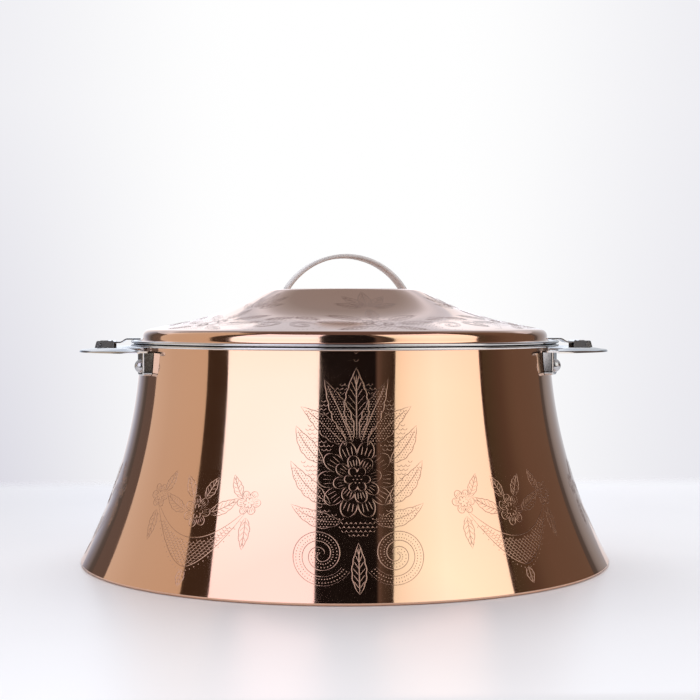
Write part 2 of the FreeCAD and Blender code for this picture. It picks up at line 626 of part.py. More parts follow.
def make_washer(name, outer, hole, place):
    """A flat washer whose upper face lies on its own origin."""
    body = new_body(name)
    turned(body, name + "_metal", [
        Corner(hole, "0"),
        Corner(hole, "-washer_wall"),
        Corner(outer, "-washer_wall"),
        Corner(outer, "0"),
    ])
    body.setExpression("Placement", tie(place))
    return body


def make_lid_fixings():
    """Rivets through the strap's feet and the crown, with washers under the lid's skin."""
    rivets = []
    washers = []
    grip = "recess_floor + strap_foot_wall - lid_tail"
    for index, side_turn in enumerate((RIGHT_SIDE, LEFT_SIDE)):
        spin = f"{side_turn} + lid_turn"
        spot = f"lid_rivet_reach * cos({spin}); lid_rivet_reach * sin({spin})"
        place = f"placement(vector({spot}; recess_floor + strap_foot_wall); rotation({spin}; 0; 0))"
        rivets.append(make_rivet(f"lid_rivet_{index}", "lid_rivet_head", "lid_rivet_dome",
                                 "lid_rivet_radius", grip, "tail_wall", place))
        place = f"placement(vector({spot}; recess_floor - cover_wall); rotation({spin}; 0; 0))"
        washers.append(make_washer(f"lid_washer_{index}", "lid_washer_radius",
                                   "lid_rivet_radius + rivet_fit", place))
    return [group("lid_handle_rivets", rivets), group("lid_rivet_washers", washers)]


def foot_plane(reach):
    """Placement of a sketch that faces a handle's foot, at a distance from the pot's axis."""
    spot = f"({reach}) * sin(foot_turn); 0; ({reach}) * cos(foot_turn)"
    return f"placement(vector({spot}); rotation(vector(0; 1; 0); foot_turn))"


def foot_face(sketch, inset):
    """A foot's face with a rounded lower end, drawn inside its edge by an inset."""
    half = f"foot_width / 2 - ({inset})"
    low = f"foot_bottom + ({inset})"
    corner = f"foot_corner - ({inset})"
    outline(sketch, [
        Corner(f"-({half})", low, round=corner),
        Corner(half, low, round=corner),
        Corner(half, f"grip_top - ({inset})"),
        Corner(f"-({half})", f"grip_top - ({inset})"),
    ])


def make_handle(name, side_turn):
    """Pressed loop handle: a channel bent round a finger opening, on two hollow riveted feet."""
    body = new_body(name)
    inner = "grip_reach - grip_width"
    low = "grip_top - grip_lip"
    section = sketch_on(body, "XZ_Plane", name + "_section")
    outline(section, [
        Corner(inner, low),
        Corner(f"{inner} + grip_wall", low),
        Corner(f"{inner} + grip_wall", "grip_top - grip_wall", round="grip_shoulder - grip_wall"),
        Corner("grip_reach - grip_wall", "grip_top - grip_wall", round="grip_shoulder - grip_wall"),
        Corner("grip_reach - grip_wall", low),
        Corner("grip_reach", low),
        Corner("grip_reach", "grip_top", round="grip_shoulder"),
        Corner(inner, "grip_top", round="grip_shoulder"),
    ])
    axle_line = Part.LineSegment(FreeCAD.Vector(value("grip_center"), 0, 0),
                                 FreeCAD.Vector(value("grip_center"), value("grip_top"), 0))
    axle = section.addGeometry(axle_line, True)
    hold_point(section, axle, 1, "grip_center", "0")
    hold_point(section, axle, 2, "grip_center", "grip_top")
    loop = body.newObject("PartDesign::Revolution", name + "_loop")
    loop.Profile = section
    loop.ReferenceAxis = (section, ["Axis0"])
    loop.setExpression("Angle", tie("grip_sweep"))
    loop.Midplane = True
    foot_sketch = sketch_on(body, "YZ_Plane", name + "_foot_face", foot_plane("foot_reach"))
    foot_face(foot_sketch, "0")
    foot = raised(body, foot_sketch, name + "_foot", "foot_depth", backwards=True)
    mirrored_foot = mirrored(body, name + "_second_foot", [foot])
    hollow_sketch = sketch_on(body, "YZ_Plane", name + "_hollow_face", foot_plane("foot_reach - grip_wall"))
    foot_face(hollow_sketch, "grip_wall")
    hollow = raised(body, hollow_sketch, name + "_hollow", "foot_depth", "PartDesign::Pocket")
    drill_sketch = sketch_on(body, "YZ_Plane", name + "_drill", foot_plane("foot_reach"))
    ring(drill_sketch, "0", "rivet_height", "rivet_radius + rivet_fit")
    hole = raised(body, drill_sketch, name + "_hole", "foot_depth", "PartDesign::Pocket")
    mirrored(body, name + "_second_hollow", [hollow, hole])
    end_sketch = sketch_on(body, "XY_Plane", name + "_end_face",
                           "placement(vector(0; 0; grip_top); rotation(foot_turn; 0; 0))")
    outline(end_sketch, [
        Corner("foot_reach / 2", "foot_width / 2 + end_margin"),
        Corner("grip_reach + trim_margin", "foot_width / 2 + end_margin"),
        Corner("grip_reach + trim_margin", "grip_arc + grip_width"),
        Corner("foot_reach / 2", "grip_arc + grip_width"),
    ])
    end = raised(body, end_sketch, name + "_end", "grip_lip + trim_margin", "PartDesign::Pocket")
    mirrored(body, name + "_second_end", [end])
    trim_low = "foot_bottom - trim_margin"
    trim_high = "grip_top + trim_margin"
    turned(body, name + "_trim", [
        Corner("0", trim_low),
        Corner(f"{wall_at(trim_low)} + seat_gap", trim_low, arc="sweep_radius", turn="right"),
        Corner(f"{wall_at(trim_high)} + seat_gap", trim_high),
        Corner("0", trim_high),
    ], "PartDesign::Groove")
    seat_sketch = sketch_on(body, "XY_Plane", name + "_bracket_drill",
                            "placement(vector(0; 0; grip_top); rotation(0; 0; 0))")
    bracket_holes(seat_sketch)
    raised(body, seat_sketch, name + "_bracket_holes", "grip_lip", "PartDesign::Pocket")
    body.setExpression("Placement", f"placement(vector(0; 0; 0); rotation({side_turn}; 0; 0))")
    return body


def mirrored(body, name, originals):
    """The same features on the other side of the handle's middle plane."""
    mirror = body.newObject("PartDesign::Mirrored", name)
    mirror.Originals = originals
    plane = next(item for item in body.Origin.OriginFeatures if item.Role == "XZ_Plane")
    mirror.MirrorPlane = (plane, [""])
    body.Tip = mirror
    return mirror


def bracket_holes(sketch):
    """The pair of holes that hold a latch bracket on its handle."""
    for side in ("", "-"):
        ring(sketch, "bracket_rivet_reach", side + "bracket_rivet_side", "bracket_rivet_radius + rivet_fit")


def make_handle_fixings(side_name, side_turn):
    """Domed rivets through a handle's feet and the shell, with washers inside the shell."""
    rivets = []
    washers = []
    grip = "foot_reach - washer_face + washer_wall"
    for index, foot_side in enumerate((1, -1)):
        azimuth = f"({side_turn} + {foot_side} * foot_turn)"
        spot = f"foot_reach * cos({azimuth}); foot_reach * sin({azimuth}); rivet_height"
        place = f"placement(vector({spot}); rotation({azimuth}; {QUARTER_TURN}; 0))"
        rivets.append(make_rivet(f"{side_name}_rivet_{index}", "rivet_head", "rivet_dome",
                                 "rivet_radius", grip, "tail_wall", place))
        spot = f"washer_face * cos({azimuth}); washer_face * sin({azimuth}); rivet_height"
        place = f"placement(vector({spot}); rotation({azimuth}; {QUARTER_TURN}; 0))"
        washers.append(make_washer(f"{side_name}_washer_{index}", "washer_radius",
                                   "rivet_radius + rivet_fit", place))
    return [group(f"{side_name}_handle_rivets", rivets), group(f"{side_name}_rivet_washers", washers)]


def make_latch_bracket(name, side_turn):
    """Bracket with two ears for the latch pin, riveted on the handle."""
    body = new_body(name)
    side_view = sketch_on(body, "XZ_Plane", name + "_side")
    outline(side_view, [
        Corner("bracket_inner", "grip_top"),
        Corner("bracket_outer", "grip_top"),
        Corner("bracket_outer - ear_lean", "ear_top", round="ear_bend"),
        Corner("bracket_inner", "ear_top", round="ear_inner_bend"),
    ])
    raised(body, side_view, name + "_block", "2 * ear_outside", symmetric=True)
    channel = sketch_on(body, "YZ_Plane", name + "_channel_end",
                        "placement(vector(0; 0; bracket_outer); rotation(0; 0; 0))")
    outline(channel, [
        Corner("-ear_inside", "bracket_floor"),
        Corner("ear_inside", "bracket_floor"),
        Corner("ear_inside", "ear_top + latch_gap"),
        Corner("-ear_inside", "ear_top + latch_gap"),
    ])
    raised(body, channel, name + "_channel", "bracket_outer - bracket_inner", "PartDesign::Pocket")
    bore = sketch_on(body, "XZ_Plane", name + "_bore_face")
    ring(bore, "pin_reach", "pin_height", "pin_radius + pin_fit")
    raised(body, bore, name + "_bore", "2 * ear_outside", "PartDesign::Pocket", symmetric=True)
    seat = sketch_on(body, "XY_Plane", name + "_drill",
                     "placement(vector(0; 0; lever_top); rotation(0; 0; 0))")
    bracket_holes(seat)
    raised(body, seat, name + "_holes", "lever_top - grip_top", "PartDesign::Pocket")
    body.setExpression("Placement", f"placement(vector(0; 0; 0); rotation({side_turn}; 0; 0))")
    return body


def make_bracket_rivets(side_name, side_turn):
    """The two small rivets of a latch bracket."""
    rivets = []
    grip = "bracket_wall + grip_wall"
    for index, side in enumerate((1, -1)):
        across = f"{side} * bracket_rivet_side"
        x = f"bracket_rivet_reach * cos({side_turn}) - {across} * sin({side_turn})"
        y = f"bracket_rivet_reach * sin({side_turn}) + {across} * cos({side_turn})"
        place = f"placement(vector({x}; {y}; bracket_floor); rotation({side_turn}; 0; 0))"
        rivets.append(make_rivet(f"{side_name}_bracket_rivet_{index}", "bracket_rivet_head",
                                 "bracket_rivet_dome", "bracket_rivet_radius", grip,
                                 "bracket_tail_wall", place))
    return group(f"{side_name}_bracket_rivets", rivets)


def make_latch_pin(name, side_turn):
    """Hinge pin with a head outside each ear."""
    body = new_body(name)
    turned(body, name + "_metal", [
        Corner("0", "ear_outside + pin_head_wall"),
        Corner("0", "-ear_outside - pin_head_wall"),
        Corner("pin_head", "-ear_outside - pin_head_wall"),
        Corner("pin_head", "-ear_outside"),
        Corner("pin_radius", "-ear_outside"),
        Corner("pin_radius", "ear_outside"),
        Corner("pin_head", "ear_outside"),
        Corner("pin_head", "ear_outside + pin_head_wall"),
    ])
    spot = f"pin_reach * cos({side_turn}); pin_reach * sin({side_turn}); pin_height"
    place = f"placement(vector({spot}); rotation({side_turn}; 0; {QUARTER_TURN}))"
    body.setExpression("Placement", tie(place))
    return body


def make_latch_lever(name, side_turn):
    """Sheet lever rolled round its pin, with two ribs and a stepped tongue over the lid's bead."""
    body = new_body(name)
    sketch = sketch_on(body, "XZ_Plane", name + "_side")
    ribs = []
    for number in (1, 0):
        middle = f"rib_reach + {number} * rib_pitch"
        ribs.append(Corner(f"{middle} + rib_half", "lever_top", arc="rib_arc", turn="left"))
        ribs.append(Corner(f"{middle} - rib_half", "lever_top"))
    outline(sketch, [
        Corner("pin_reach", "lever_top"),
        *ribs,
        Corner("step_start", "lever_top", round="step_bend"),
        Corner("step_end", "tongue_top", round="step_bend + lever_wall"),
        Corner("tongue_tip", "tongue_top"),
        Corner("tongue_tip", "tongue_under"),
        Corner("step_end - step_shift", "tongue_under", round="step_bend"),
        Corner("step_start - step_shift", "lever_under", round="step_bend + lever_wall"),
        Corner("knuckle_root", "lever_under", arc="knuckle_radius", turn="left", long=True),
    ])
    ring(sketch, "pin_reach", "pin_height", "pin_radius + pin_fit")
    raised(body, sketch, name + "_sheet", "lever_width", symmetric=True)
    body.setExpression("Placement", f"placement(vector(0; 0; 0); rotation({side_turn}; 0; 0))")
    return body


def make_side(side_name, side_turn):
    """Everything on one side of the pot: handle, its fixings, and the latch."""
    return [
        make_handle(f"{side_name}_handle", side_turn),
        *make_handle_fixings(side_name, side_turn),
        make_latch_bracket(f"{side_name}_latch_bracket", side_turn),
        make_bracket_rivets(side_name, side_turn),
        make_latch_pin(f"{side_name}_latch_pin", side_turn),
        make_latch_lever(f"{side_name}_latch_lever", side_turn),
    ]


def check_and_write(pieces):
    """Recomputes the document, refuses anything that failed, and writes one file for each piece."""
    doc.recompute()
    for item in doc.Objects:
        if "Invalid" in item.State or "Error" in item.State:
            raise RuntimeError(f"{item.Label} could not be worked out: {item.State}")
    for piece in pieces:
        if piece.Shape.isNull() or not piece.Shape.isValid() or not piece.Shape.Solids:
            raise RuntimeError(f"{piece.Label} is not a sound solid")
    os.makedirs("parts", exist_ok=True)
    for piece in pieces:
        piece.Shape.exportStep(f"parts/{piece.Label}.step")


check_and_write([
    make_outer_shell(),
    make_inner_pot(),
    make_base_plate(),
    make_pot_insulation(),
    *make_side("right", RIGHT_SIDE),
    *make_side("left", LEFT_SIDE),
    make_lid_pan(),
    make_lid_cover(),
    make_lid_insulation(),
    make_lid_handle(),
    *make_lid_fixings(),
])
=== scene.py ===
"""Looks of the insulated serving pot, laid out as a Blender add-on.

Every new piece is a surface of two parameters on a grid, in metres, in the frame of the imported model:
the pot's axis is Z, the floor is at zero, the side handles lie along X and the front faces -Y.
"""

import math
from collections import namedtuple
from types import SimpleNamespace

import bmesh
import bpy
import numpy as np
from bpy.props import FloatProperty, FloatVectorProperty, IntProperty, PointerProperty
from bpy.types import Operator, Panel, PropertyGroup
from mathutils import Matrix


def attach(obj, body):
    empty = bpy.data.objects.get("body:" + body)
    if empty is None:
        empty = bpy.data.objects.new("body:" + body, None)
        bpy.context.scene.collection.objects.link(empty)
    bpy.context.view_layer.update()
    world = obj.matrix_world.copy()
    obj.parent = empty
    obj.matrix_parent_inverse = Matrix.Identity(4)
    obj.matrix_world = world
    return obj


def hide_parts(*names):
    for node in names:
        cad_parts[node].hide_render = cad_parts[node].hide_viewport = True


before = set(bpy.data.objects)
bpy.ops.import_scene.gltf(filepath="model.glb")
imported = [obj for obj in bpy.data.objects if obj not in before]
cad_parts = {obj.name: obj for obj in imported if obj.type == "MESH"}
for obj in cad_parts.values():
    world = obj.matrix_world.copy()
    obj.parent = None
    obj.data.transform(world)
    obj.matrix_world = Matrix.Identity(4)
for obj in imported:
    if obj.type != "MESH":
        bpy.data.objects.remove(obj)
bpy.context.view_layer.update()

bl_info = {
    "name": "Insulated Serving Pot",
    "version": (1, 0, 0),
    "blender": (4, 5, 0),
    "location": "View3D > Sidebar > Serving Pot",
    "description": "Fine surfaces, engraved ornament, finishes and a studio for the packed serving pot",
    "category": "Object",
}

MM = 0.001
FULL_TURN = 2 * math.pi
SIDES = {"right": 1, "left": -1}

# Digits to which points in metres are welded, and least values that keep a division clear of nought.
WELD_DIGITS, TINY, LEAST_CURL = 8, 1e-12, 1e-6
# Part of an axis along Z from which a turned shape counts as upright.
NEARLY_UPRIGHT = 0.9
# Longest runs of outlines in metres: most turned pieces, the lid, a handle's foot and the wreath's wall.
LONGEST_RUN, LONGEST_LID_RUN, LONGEST_FOOT_RUN, LONGEST_WREATH_RUN = 0.012, 0.006, 0.0015, 0.0005
# Counts of points: flare, hem's bend, bead, rivet's cap, wall with ornament, and the flare in that wall.
FLARE_STEPS, HEM_STEPS, BEAD_STEPS, CAP_STEPS, WALL_STEPS, SHELL_LINE_STEPS = 64, 7, 26, 9, 600, 200
# Span that most values of a noise lie in, depth of a steel's grain, and scales of brush strokes per metre.
NOISE_SPAN, GRAIN_DEPTH = (0.3, 0.7), 0.000006
SHORT_STROKES, LONG_STROKES = (40.0, 1600.0, 40.0), (30.0, 1500.0, 30.0)
# Places of the sockets of a node that mixes colours.
MIX_FACTOR, MIX_COLOURS, MIX_RESULT = 0, (6, 7), 2


def amount(description, default, **kind):
    """A property that holds a number."""
    return FloatProperty(description=description, default=default, **kind)


def number(description, default):
    """A property that holds a whole number."""
    return IntProperty(description=description, default=default)


def length(description, millimetres):
    """A property that holds a length, with its default given in millimetres."""
    return amount(description, millimetres * MM, unit="LENGTH", subtype="DISTANCE", precision=5)


def angle(description, degrees):
    """A property that holds an angle, with its default given in degrees."""
    return amount(description, math.radians(degrees), unit="ROTATION", subtype="ANGLE")


def colour(description, *channels):
    """A property that holds a linear colour."""
    return FloatVectorProperty(description=description, default=channels, size=3, subtype="COLOR",
                               min=0.0, soft_max=2.0)


class PotSizes(PropertyGroup):
    """Sizes of the shell, the liner and the base plate."""

    base_radius: length("Outer radius of the foot", 200)
    shell_top_radius: length("Outer radius of the shell under the rim", 155.5)
    sweep_radius: length("Radius of the shell's hollow flare", 363)
    rim_height: length("Height of the joint between pot and lid", 164.2)
    sheet: length("Thickness of the drawn sheets", 0.8)
    hem_width: length("Width of the hem that the pot stands on", 12)
    hem_bend: length("Outer bend of the hem", 2)
    bead_overhang: length("Reach of the rolled beads past the shell", 3.5)
    bead_spread: length("Further reach of the rims, past the packed beads", 3.6)
    bead_radius: length("Radius of a rolled bead's section", 0.95)
    bead_gap: length("Distance of each bead from the joint between pot and lid", 0.35)
    bead_slope: length("Run over which a flange draws away from the joint", 1.6)
    mouth_inset: length("Step from the shell in to the liner's mouth", 9.5)
    mouth_bend: length("Bend between the liner's wall and its rim", 3)
    liner_taper: length("Amount that the liner narrows to its floor", 9)
    floor_height: length("Height of the liner's floor", 18)
    floor_bend: length("Inner bend between the liner's wall and floor", 22)
    base_ledge: length("Width of the base plate's low ring", 32)
    base_fit: length("Gap round the base plate", 0.5)
    base_press: length("Rise of the base plate's middle", 3)
    segments: number("Segments round a turned piece", 256)
    shell_segments: number("Segments round the shell", 448)


class LidSizes(PropertyGroup):
    """Sizes of the lid's skin, its pan and the strap handle."""

    plug_gap: length("Gap between the lid's plug and the mouth", 1.5)
    plug_depth: length("Depth of the lid's plug below the rim", 12)
    plug_bend: length("Outer bend at the foot of the plug", 8)
    plug_lip: length("Bend between the plug and the flange", 2)
    band_inset: length("Step from the beads in to the upright band", 5.3)
    band_flare: length("Bend that turns the band's foot out onto the flange", 2)
    band_lip: length("Straight lip past the bend at the band's foot", 0.6)
    shoulder_rise: length("Height of the band's corner above the rim", 9.7)
    shoulder_bend: length("Bend of the corner above the band", 5.5)
    knee_run: length("Run of the gentle slope", 59.7)
    knee_rise: length("Rise of the gentle slope", 11.9)
    knee_bend: length("Hollow bend between the two slopes", 210)
    crown_run: length("Run of the steep slope", 37)
    crown_rise: length("Rise of the steep slope", 19.1)
    crown_bend: length("Bend of the crown's edge", 12)
    recess_rim: length("Width of the rim round the crown's recess", 4.5)
    recess_depth: length("Depth of the crown's recess", 3.5)
    recess_bend: length("Bends of the recess", 1)
    strap_turn: angle("Turn of the strap handle about the pot's axis", 6.5)
    strap_rise: length("Height of the strap above the crown", 27)
    strap_spring: length("Height of the strap's straight legs", 4.4)
    strap_inset: length("Gap between the legs and the recess's wall", 2.6)
    strap_wall: length("Thickness of the strap", 3)
    strap_edge: length("Rounding of the strap's long edges", 1.3)
    strap_width: length("Width of the strap", 20)
    strap_foot: length("Length of the strap's feet", 18)
    strap_foot_wall: length("Thickness of the strap's feet", 2)
    strap_heel: length("Bend between the strap's leg and foot", 2)
    strap_inner_heel: length("Inner bend between the strap's leg and foot", 0.5)
    rivet_setback: length("Distance of the rivets from the strap's legs", 10.5)
    rivet_head: length("Head radius of the strap's rivets", 3.5)
    rivet_dome: length("Head height of the strap's rivets", 1.3)


class HandleSizes(PropertyGroup):
    """Sizes of the side handles, their rivets and the latch levers."""

    projection: length("Reach of a handle past the shell", 46)
    width: length("Width of a handle's channel", 24)
    drop: length("Depth of the handle's upper face below the rim", 4.8)
    arc: length("Radius of the handle's loop at mid-width", 66)
    wall: length("Sheet of the handles", 1.2)
    lip: length("Depth of the turned-down edges", 1.7)
    crown: length("Rise of the handle's upper face on both sides of the latch's seat", 1.9)
    shoulder: length("Outer bend of the turned-down edges", 1.4)
    foot_standoff: length("Distance of a foot's face from the shell", 6.9)
    foot_width: length("Width of a handle's foot", 15)
    foot_below: length("Reach of a foot below its rivet", 6.8)
    foot_corner: length("Corner radius of a foot's lower end", 2.2)
    foot_draft: length("Amount that a foot narrows to its face, on each side", 0.78)
    foot_edge: length("Rounding of a foot's outer edges", 1.4)
    end_margin: length("Reach of the loop's ends past the sides of its feet", 1)
    seat_gap: length("Gap between a handle and the shell", 0.3)
    rivet_drop: length("Depth of the rivets below the rim", 15.6)
    rivet_head: length("Head radius of the handle rivets", 5)
    rivet_dome: length("Head height of the handle rivets", 4)
    pin_inset: length("Distance of a latch pin from the handle's edge", 15.3)
    pin_bore: length("Radius of the bore round a latch pin", 1.3)
    knuckle_wall: length("Sheet round the pin", 1)
    bracket_wall: length("Sheet of a latch bracket", 1)
    latch_gap: length("Gap round a lever and over the lid's bead", 0.3)
    lever_width: length("Width of a latch lever", 20)
    lever_wall: length("Sheet of a latch lever", 1.1)
    lever_edge: length("Rounding of a lever's edges", 0.25)
    step_clear: length("Distance of the lever's step from the beads", 6)
    step_run: length("Run of the lever's step", 6)
    tongue_gap: length("Gap between the tongue's tip and the band", 1.2)
    rib_setback: length("Distance of the inner rib from the pin", 9.8)
    rib_pitch: length("Distance between the lever's ribs", 3.4)
    rib_half: length("Half the width of a rib", 1.15)
    rib_rise: length("Height of a rib", 1.05)


class OrnamentSizes(PropertyGroup):
    """Sizes of the engraved ornament."""

    line_width: length("Width of a chased line", 0.66)
    line_rise: length("Height of a chased line", 0.06)
    fine_width: length("Width of a vein or a scale", 0.46)
    fine_rise: length("Height of a vein or a scale", 0.045)
    stud_radius: length("Radius of a punched stud", 0.48)
    stud_rise: length("Height of a punched stud", 0.07)
    lid_relief: amount("Relief of the lid's ornament, as a share of the shell's", 1.1)
    repeats: number("Palmettes round the pot", 3)
    lid_repeats: number("Wreath motifs round the lid", 6)
    swag_turn: angle("Turn from a palmette to the swags at its sides", 37)


class Finishes(PropertyGroup):
    """Colours of the metals and the foam."""

    copper: colour("Polished copper-coloured skin", 0.91, 0.60, 0.44)
    copper_deep: colour("Darker drift in the copper", 0.87, 0.55, 0.39)
    engraved: colour("Chased lines and studs", 0.66, 0.42, 0.31)
    engraved_deep: colour("Darker drift in the chased lines", 0.58, 0.36, 0.26)
    bright_steel: colour("Polished steel of liner, pan and beads", 0.74, 0.735, 0.73)
    satin_steel: colour("Brushed steel of handles and latches", 0.64, 0.635, 0.63)
    pale_steel: colour("Frosted steel of the strap", 0.77, 0.73, 0.71)
    dark_steel: colour("Dull steel of the brackets", 0.17, 0.165, 0.16)
    rivet_steel: colour("Steel of rivets and pins", 0.58, 0.58, 0.59)
    foam: colour("Insulating foam", 0.82, 0.74, 0.50)


class StudioSettings(PropertyGroup):
    """Camera and light."""

    distance: length("Distance of the camera from the pot's axis", 1147.6)
    height: length("Height of the camera above the floor", 185.8)
    aim_side: length("Point that the camera looks at, to the right of the axis", 3.83)
    aim_height: length("Height of the point that the camera looks at", 158.6)
    swing: angle("Swing of the camera and the boards round the pot, to the left", 2.75)
    lens: amount("Focal length of the camera", 76.97, unit="CAMERA")
    board_radius: length("Distance of the boards from the pot", 2600)
    lamp_size: length("Width of the overhead lamp", 2600)
    lamp_height: length("Height of the overhead lamp", 1700)
    lamp_back: length("Distance of the overhead lamp behind the pot", 1400)
    lamp_power: amount("Power of the overhead lamp", 37.0, unit="POWER")
    card_side: length("Half the width of the dark card", 1100)
    card_near: length("Distance of the dark card's near edge from the axis", 420)
    card_far: length("Distance of the dark card's far edge from the axis", 2400)
    card_lift: length("Height of the dark card above the floor", 2)
    floor_reach: length("Half the floor's width", 4000)
    floor_end: length("Distance behind the pot where the floor melts into the ground", 500)
    floor: colour("Pale floor", 0.89, 0.885, 0.90)
    # Painted shade: the darker colour that the floor takes on behind the pot and to the left, where light
    # falls off.
    floor_painted_shade: colour("Floor behind the pot and to the left", 0.55, 0.545, 0.565)
    ground: colour("Middle of the pale background", 1.0, 1.0, 1.0)
    ground_edge: colour("Edges of the pale background", 0.85, 0.845, 0.885)
    ground_low: colour("Lower edges of the pale background", 0.68, 0.67, 0.745)


def pot_levels(scene):
    """Heights and radii that several pieces share, worked out from the properties, which go with them."""
    pot, lid, grip = scene.pot_sizes, scene.pot_lid, scene.pot_handles
    at = SimpleNamespace(pot=pot, lid=lid, grip=grip, rim=pot.rim_height)
    at.shell_top = pot.rim_height - pot.sheet
    chord_r = pot.base_radius - pot.shell_top_radius
    chord_z = at.shell_top - pot.hem_bend
    chord = math.hypot(chord_r, chord_z)
    back = math.sqrt(pot.sweep_radius ** 2 - chord ** 2 / 4)
    at.sweep_r = (pot.base_radius + pot.shell_top_radius) / 2 + back * chord_z / chord
    at.sweep_z = (at.shell_top + pot.hem_bend) / 2 + back * chord_r / chord
    at.bead_reach = pot.shell_top_radius + pot.bead_overhang
    at.bead_center = at.bead_reach + pot.bead_spread - pot.bead_radius
    at.bead_turn = at.bead_center - pot.bead_slope
    at.mouth = pot.shell_top_radius - pot.mouth_inset
    at.band = at.bead_reach - lid.band_inset
    at.shoulder = pot.rim_height + lid.shoulder_rise
    at.knee_r = at.band - lid.knee_run
    at.knee_z = at.shoulder + lid.knee_rise
    at.crown_r = at.knee_r - lid.crown_run
    at.crown_z = at.knee_z + lid.crown_rise
    at.recess_r = at.crown_r - lid.recess_rim
    at.recess_z = at.crown_z - lid.recess_depth
    at.grip_reach = pot.shell_top_radius + grip.projection
    at.grip_top = pot.rim_height - grip.drop
    at.grip_center = at.grip_reach - grip.width / 2 - grip.arc
    at.rivet_z = pot.rim_height - grip.rivet_drop
    at.foot_reach = shell_radius(at, at.rivet_z) + grip.foot_standoff
    foot_line = at.foot_reach - grip.foot_standoff / 2
    at.foot_turn = math.acos((foot_line ** 2 + at.grip_center ** 2 - grip.arc ** 2)
                             / (2 * foot_line * at.grip_center))
    return at


def shell_radius(at, height):
    """Outer radius of the flare: the flare's centre less the run of a circle at that height."""
    return at.sweep_r - np.sqrt(at.pot.sweep_radius ** 2 - (at.sweep_z - height) ** 2)


def together(*coordinates):
    """Coordinates joined into places, which lie along the last axis."""
    return np.stack(np.broadcast_arrays(*coordinates), axis=-1)


def spokes(turn):
    """Unit directions at some angles: the cosine and the sine of each."""
    return together(np.cos(turn), np.sin(turn))


def swung(x, y, turn):
    """Two coordinates turned about the axis by one angle."""
    return x * math.cos(turn) - y * math.sin(turn), x * math.sin(turn) + y * math.cos(turn)


def bent(before, spot, after, radius, steps):
    """Arc that rounds a corner: its centre lies on the bisector, and the spokes to its two ends are
    blended with sines of the shares of the angle between them."""
    arriving = (before - spot) / np.linalg.norm(before - spot)
    leaving = (after - spot) / np.linalg.norm(after - spot)
    half = math.acos(np.clip(arriving @ leaving, -1, 1)) / 2
    bisector = (arriving + leaving) / np.linalg.norm(arriving + leaving)
    center = spot + bisector * radius / math.sin(half)
    first = spot + arriving * radius / math.tan(half) - center
    last = spot + leaving * radius / math.tan(half) - center
    sweep = math.pi - 2 * half
    share = np.linspace(0, 1, steps)[:, None]
    return center + (np.sin((1 - share) * sweep) * first + np.sin(share * sweep) * last) / math.sin(sweep)


def outline(corners, closed=False, steps=9):
    """Outline through corners (across, up, bend): straight runs, and an arc at each corner with a bend."""
    spots = np.array([corner[:2] for corner in corners], float)
    before = np.roll(spots, 1, axis=0)
    after = np.roll(spots, -1, axis=0)
    runs = []
    for index, corner in enumerate(corners):
        inner = closed or 0 < index < len(corners) - 1
        if corner[2] and inner:
            runs.append(bent(before[index], spots[index], after[index], corner[2], steps))
        else:
            runs.append(spots[index][None])
    return np.vstack(runs)


def densed(points, longest):
    """The same outline with long runs divided evenly, so that no run is longer than a limit."""
    gaps = np.linalg.norm(np.diff(points, axis=0), axis=1)
    parts = np.maximum(1, np.ceil(gaps / longest)).astype(int)
    owner = np.repeat(np.arange(len(gaps)), parts)
    within = np.arange(parts.sum()) - np.repeat(np.cumsum(parts) - parts, parts)
    share = (within / parts[owner])[:, None]
    return np.vstack([points[owner] * (1 - share) + points[owner + 1] * share, points[-1:]])


def eased(share):
    """A share held between nought and one and eased at both ends by its cubic."""
    share = np.clip(share, 0, 1)
    return share * share * (3 - 2 * share)


def grid_quads(index, wrap_rows=False, wrap_columns=False):
    """Faces between neighbouring places of an index grid, which may close on itself either way."""
    if wrap_rows:
        index = np.concatenate([index, index[:1]], axis=0)
    if wrap_columns:
        index = np.concatenate([index, index[:, :1]], axis=1)
    corners = index[:-1, :-1], index[:-1, 1:], index[1:, 1:], index[1:, :-1]
    return np.stack(corners, axis=-1).reshape(-1, 4)


def gridded(places, wrap_rows=False, wrap_columns=False):
    """The points of a grid of places, and the faces between them."""
    index = np.arange(places[..., 0].size).reshape(places.shape[:2])
    return places.reshape(-1, 3), grid_quads(index, wrap_rows, wrap_columns)


def welded(points, quads):
    """Points that share a place become one; a face that loses a corner by it becomes a triangle."""
    places, owner = np.unique(np.round(points, WELD_DIGITS), axis=0, return_inverse=True)
    faces = owner.reshape(-1)[quads]
    same = faces == np.roll(faces, -1, axis=1)
    whole = faces[~same.any(axis=1)]
    once = faces[same.sum(axis=1) == 1]
    keep = ~(once == np.roll(once, -1, axis=1))
    return places, whole.tolist() + once[keep].reshape(-1, 3).tolist()


def face_outwards(mesh):
    """Turns every face of a closed mesh outwards."""
    shape = bmesh.new()
    shape.from_mesh(mesh)
    bmesh.ops.recalc_face_normals(shape, faces=shape.faces)
    shape.to_mesh(mesh)
    shape.free()


def make_piece(name, shape, body, finish, stands_for=(), sharp=32.0, weld=True):
    """A mesh object from points and faces, smooth but for sharp edges, that rides on a body. A welded
    piece has its faces turned outwards; the ornament's many small shapes are made that way."""
    points, quads = shape
    places, faces = welded(points, quads) if weld else (points, quads.tolist())
    mesh = bpy.data.meshes.new(name)
    mesh.from_pydata(places.tolist(), [], faces)
    mesh.polygons.foreach_set("use_smooth", np.ones(len(mesh.polygons), bool))
    mesh.set_sharp_from_angle(angle=math.radians(sharp))
    mesh.materials.append(finish_named(finish))
    mesh.validate()
    piece = bpy.data.objects.new(name, mesh)
    bpy.context.scene.collection.objects.link(piece)
    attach(piece, body)
    if stands_for:
        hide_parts(*stands_for)
    if weld:
        face_outwards(mesh)
    return piece


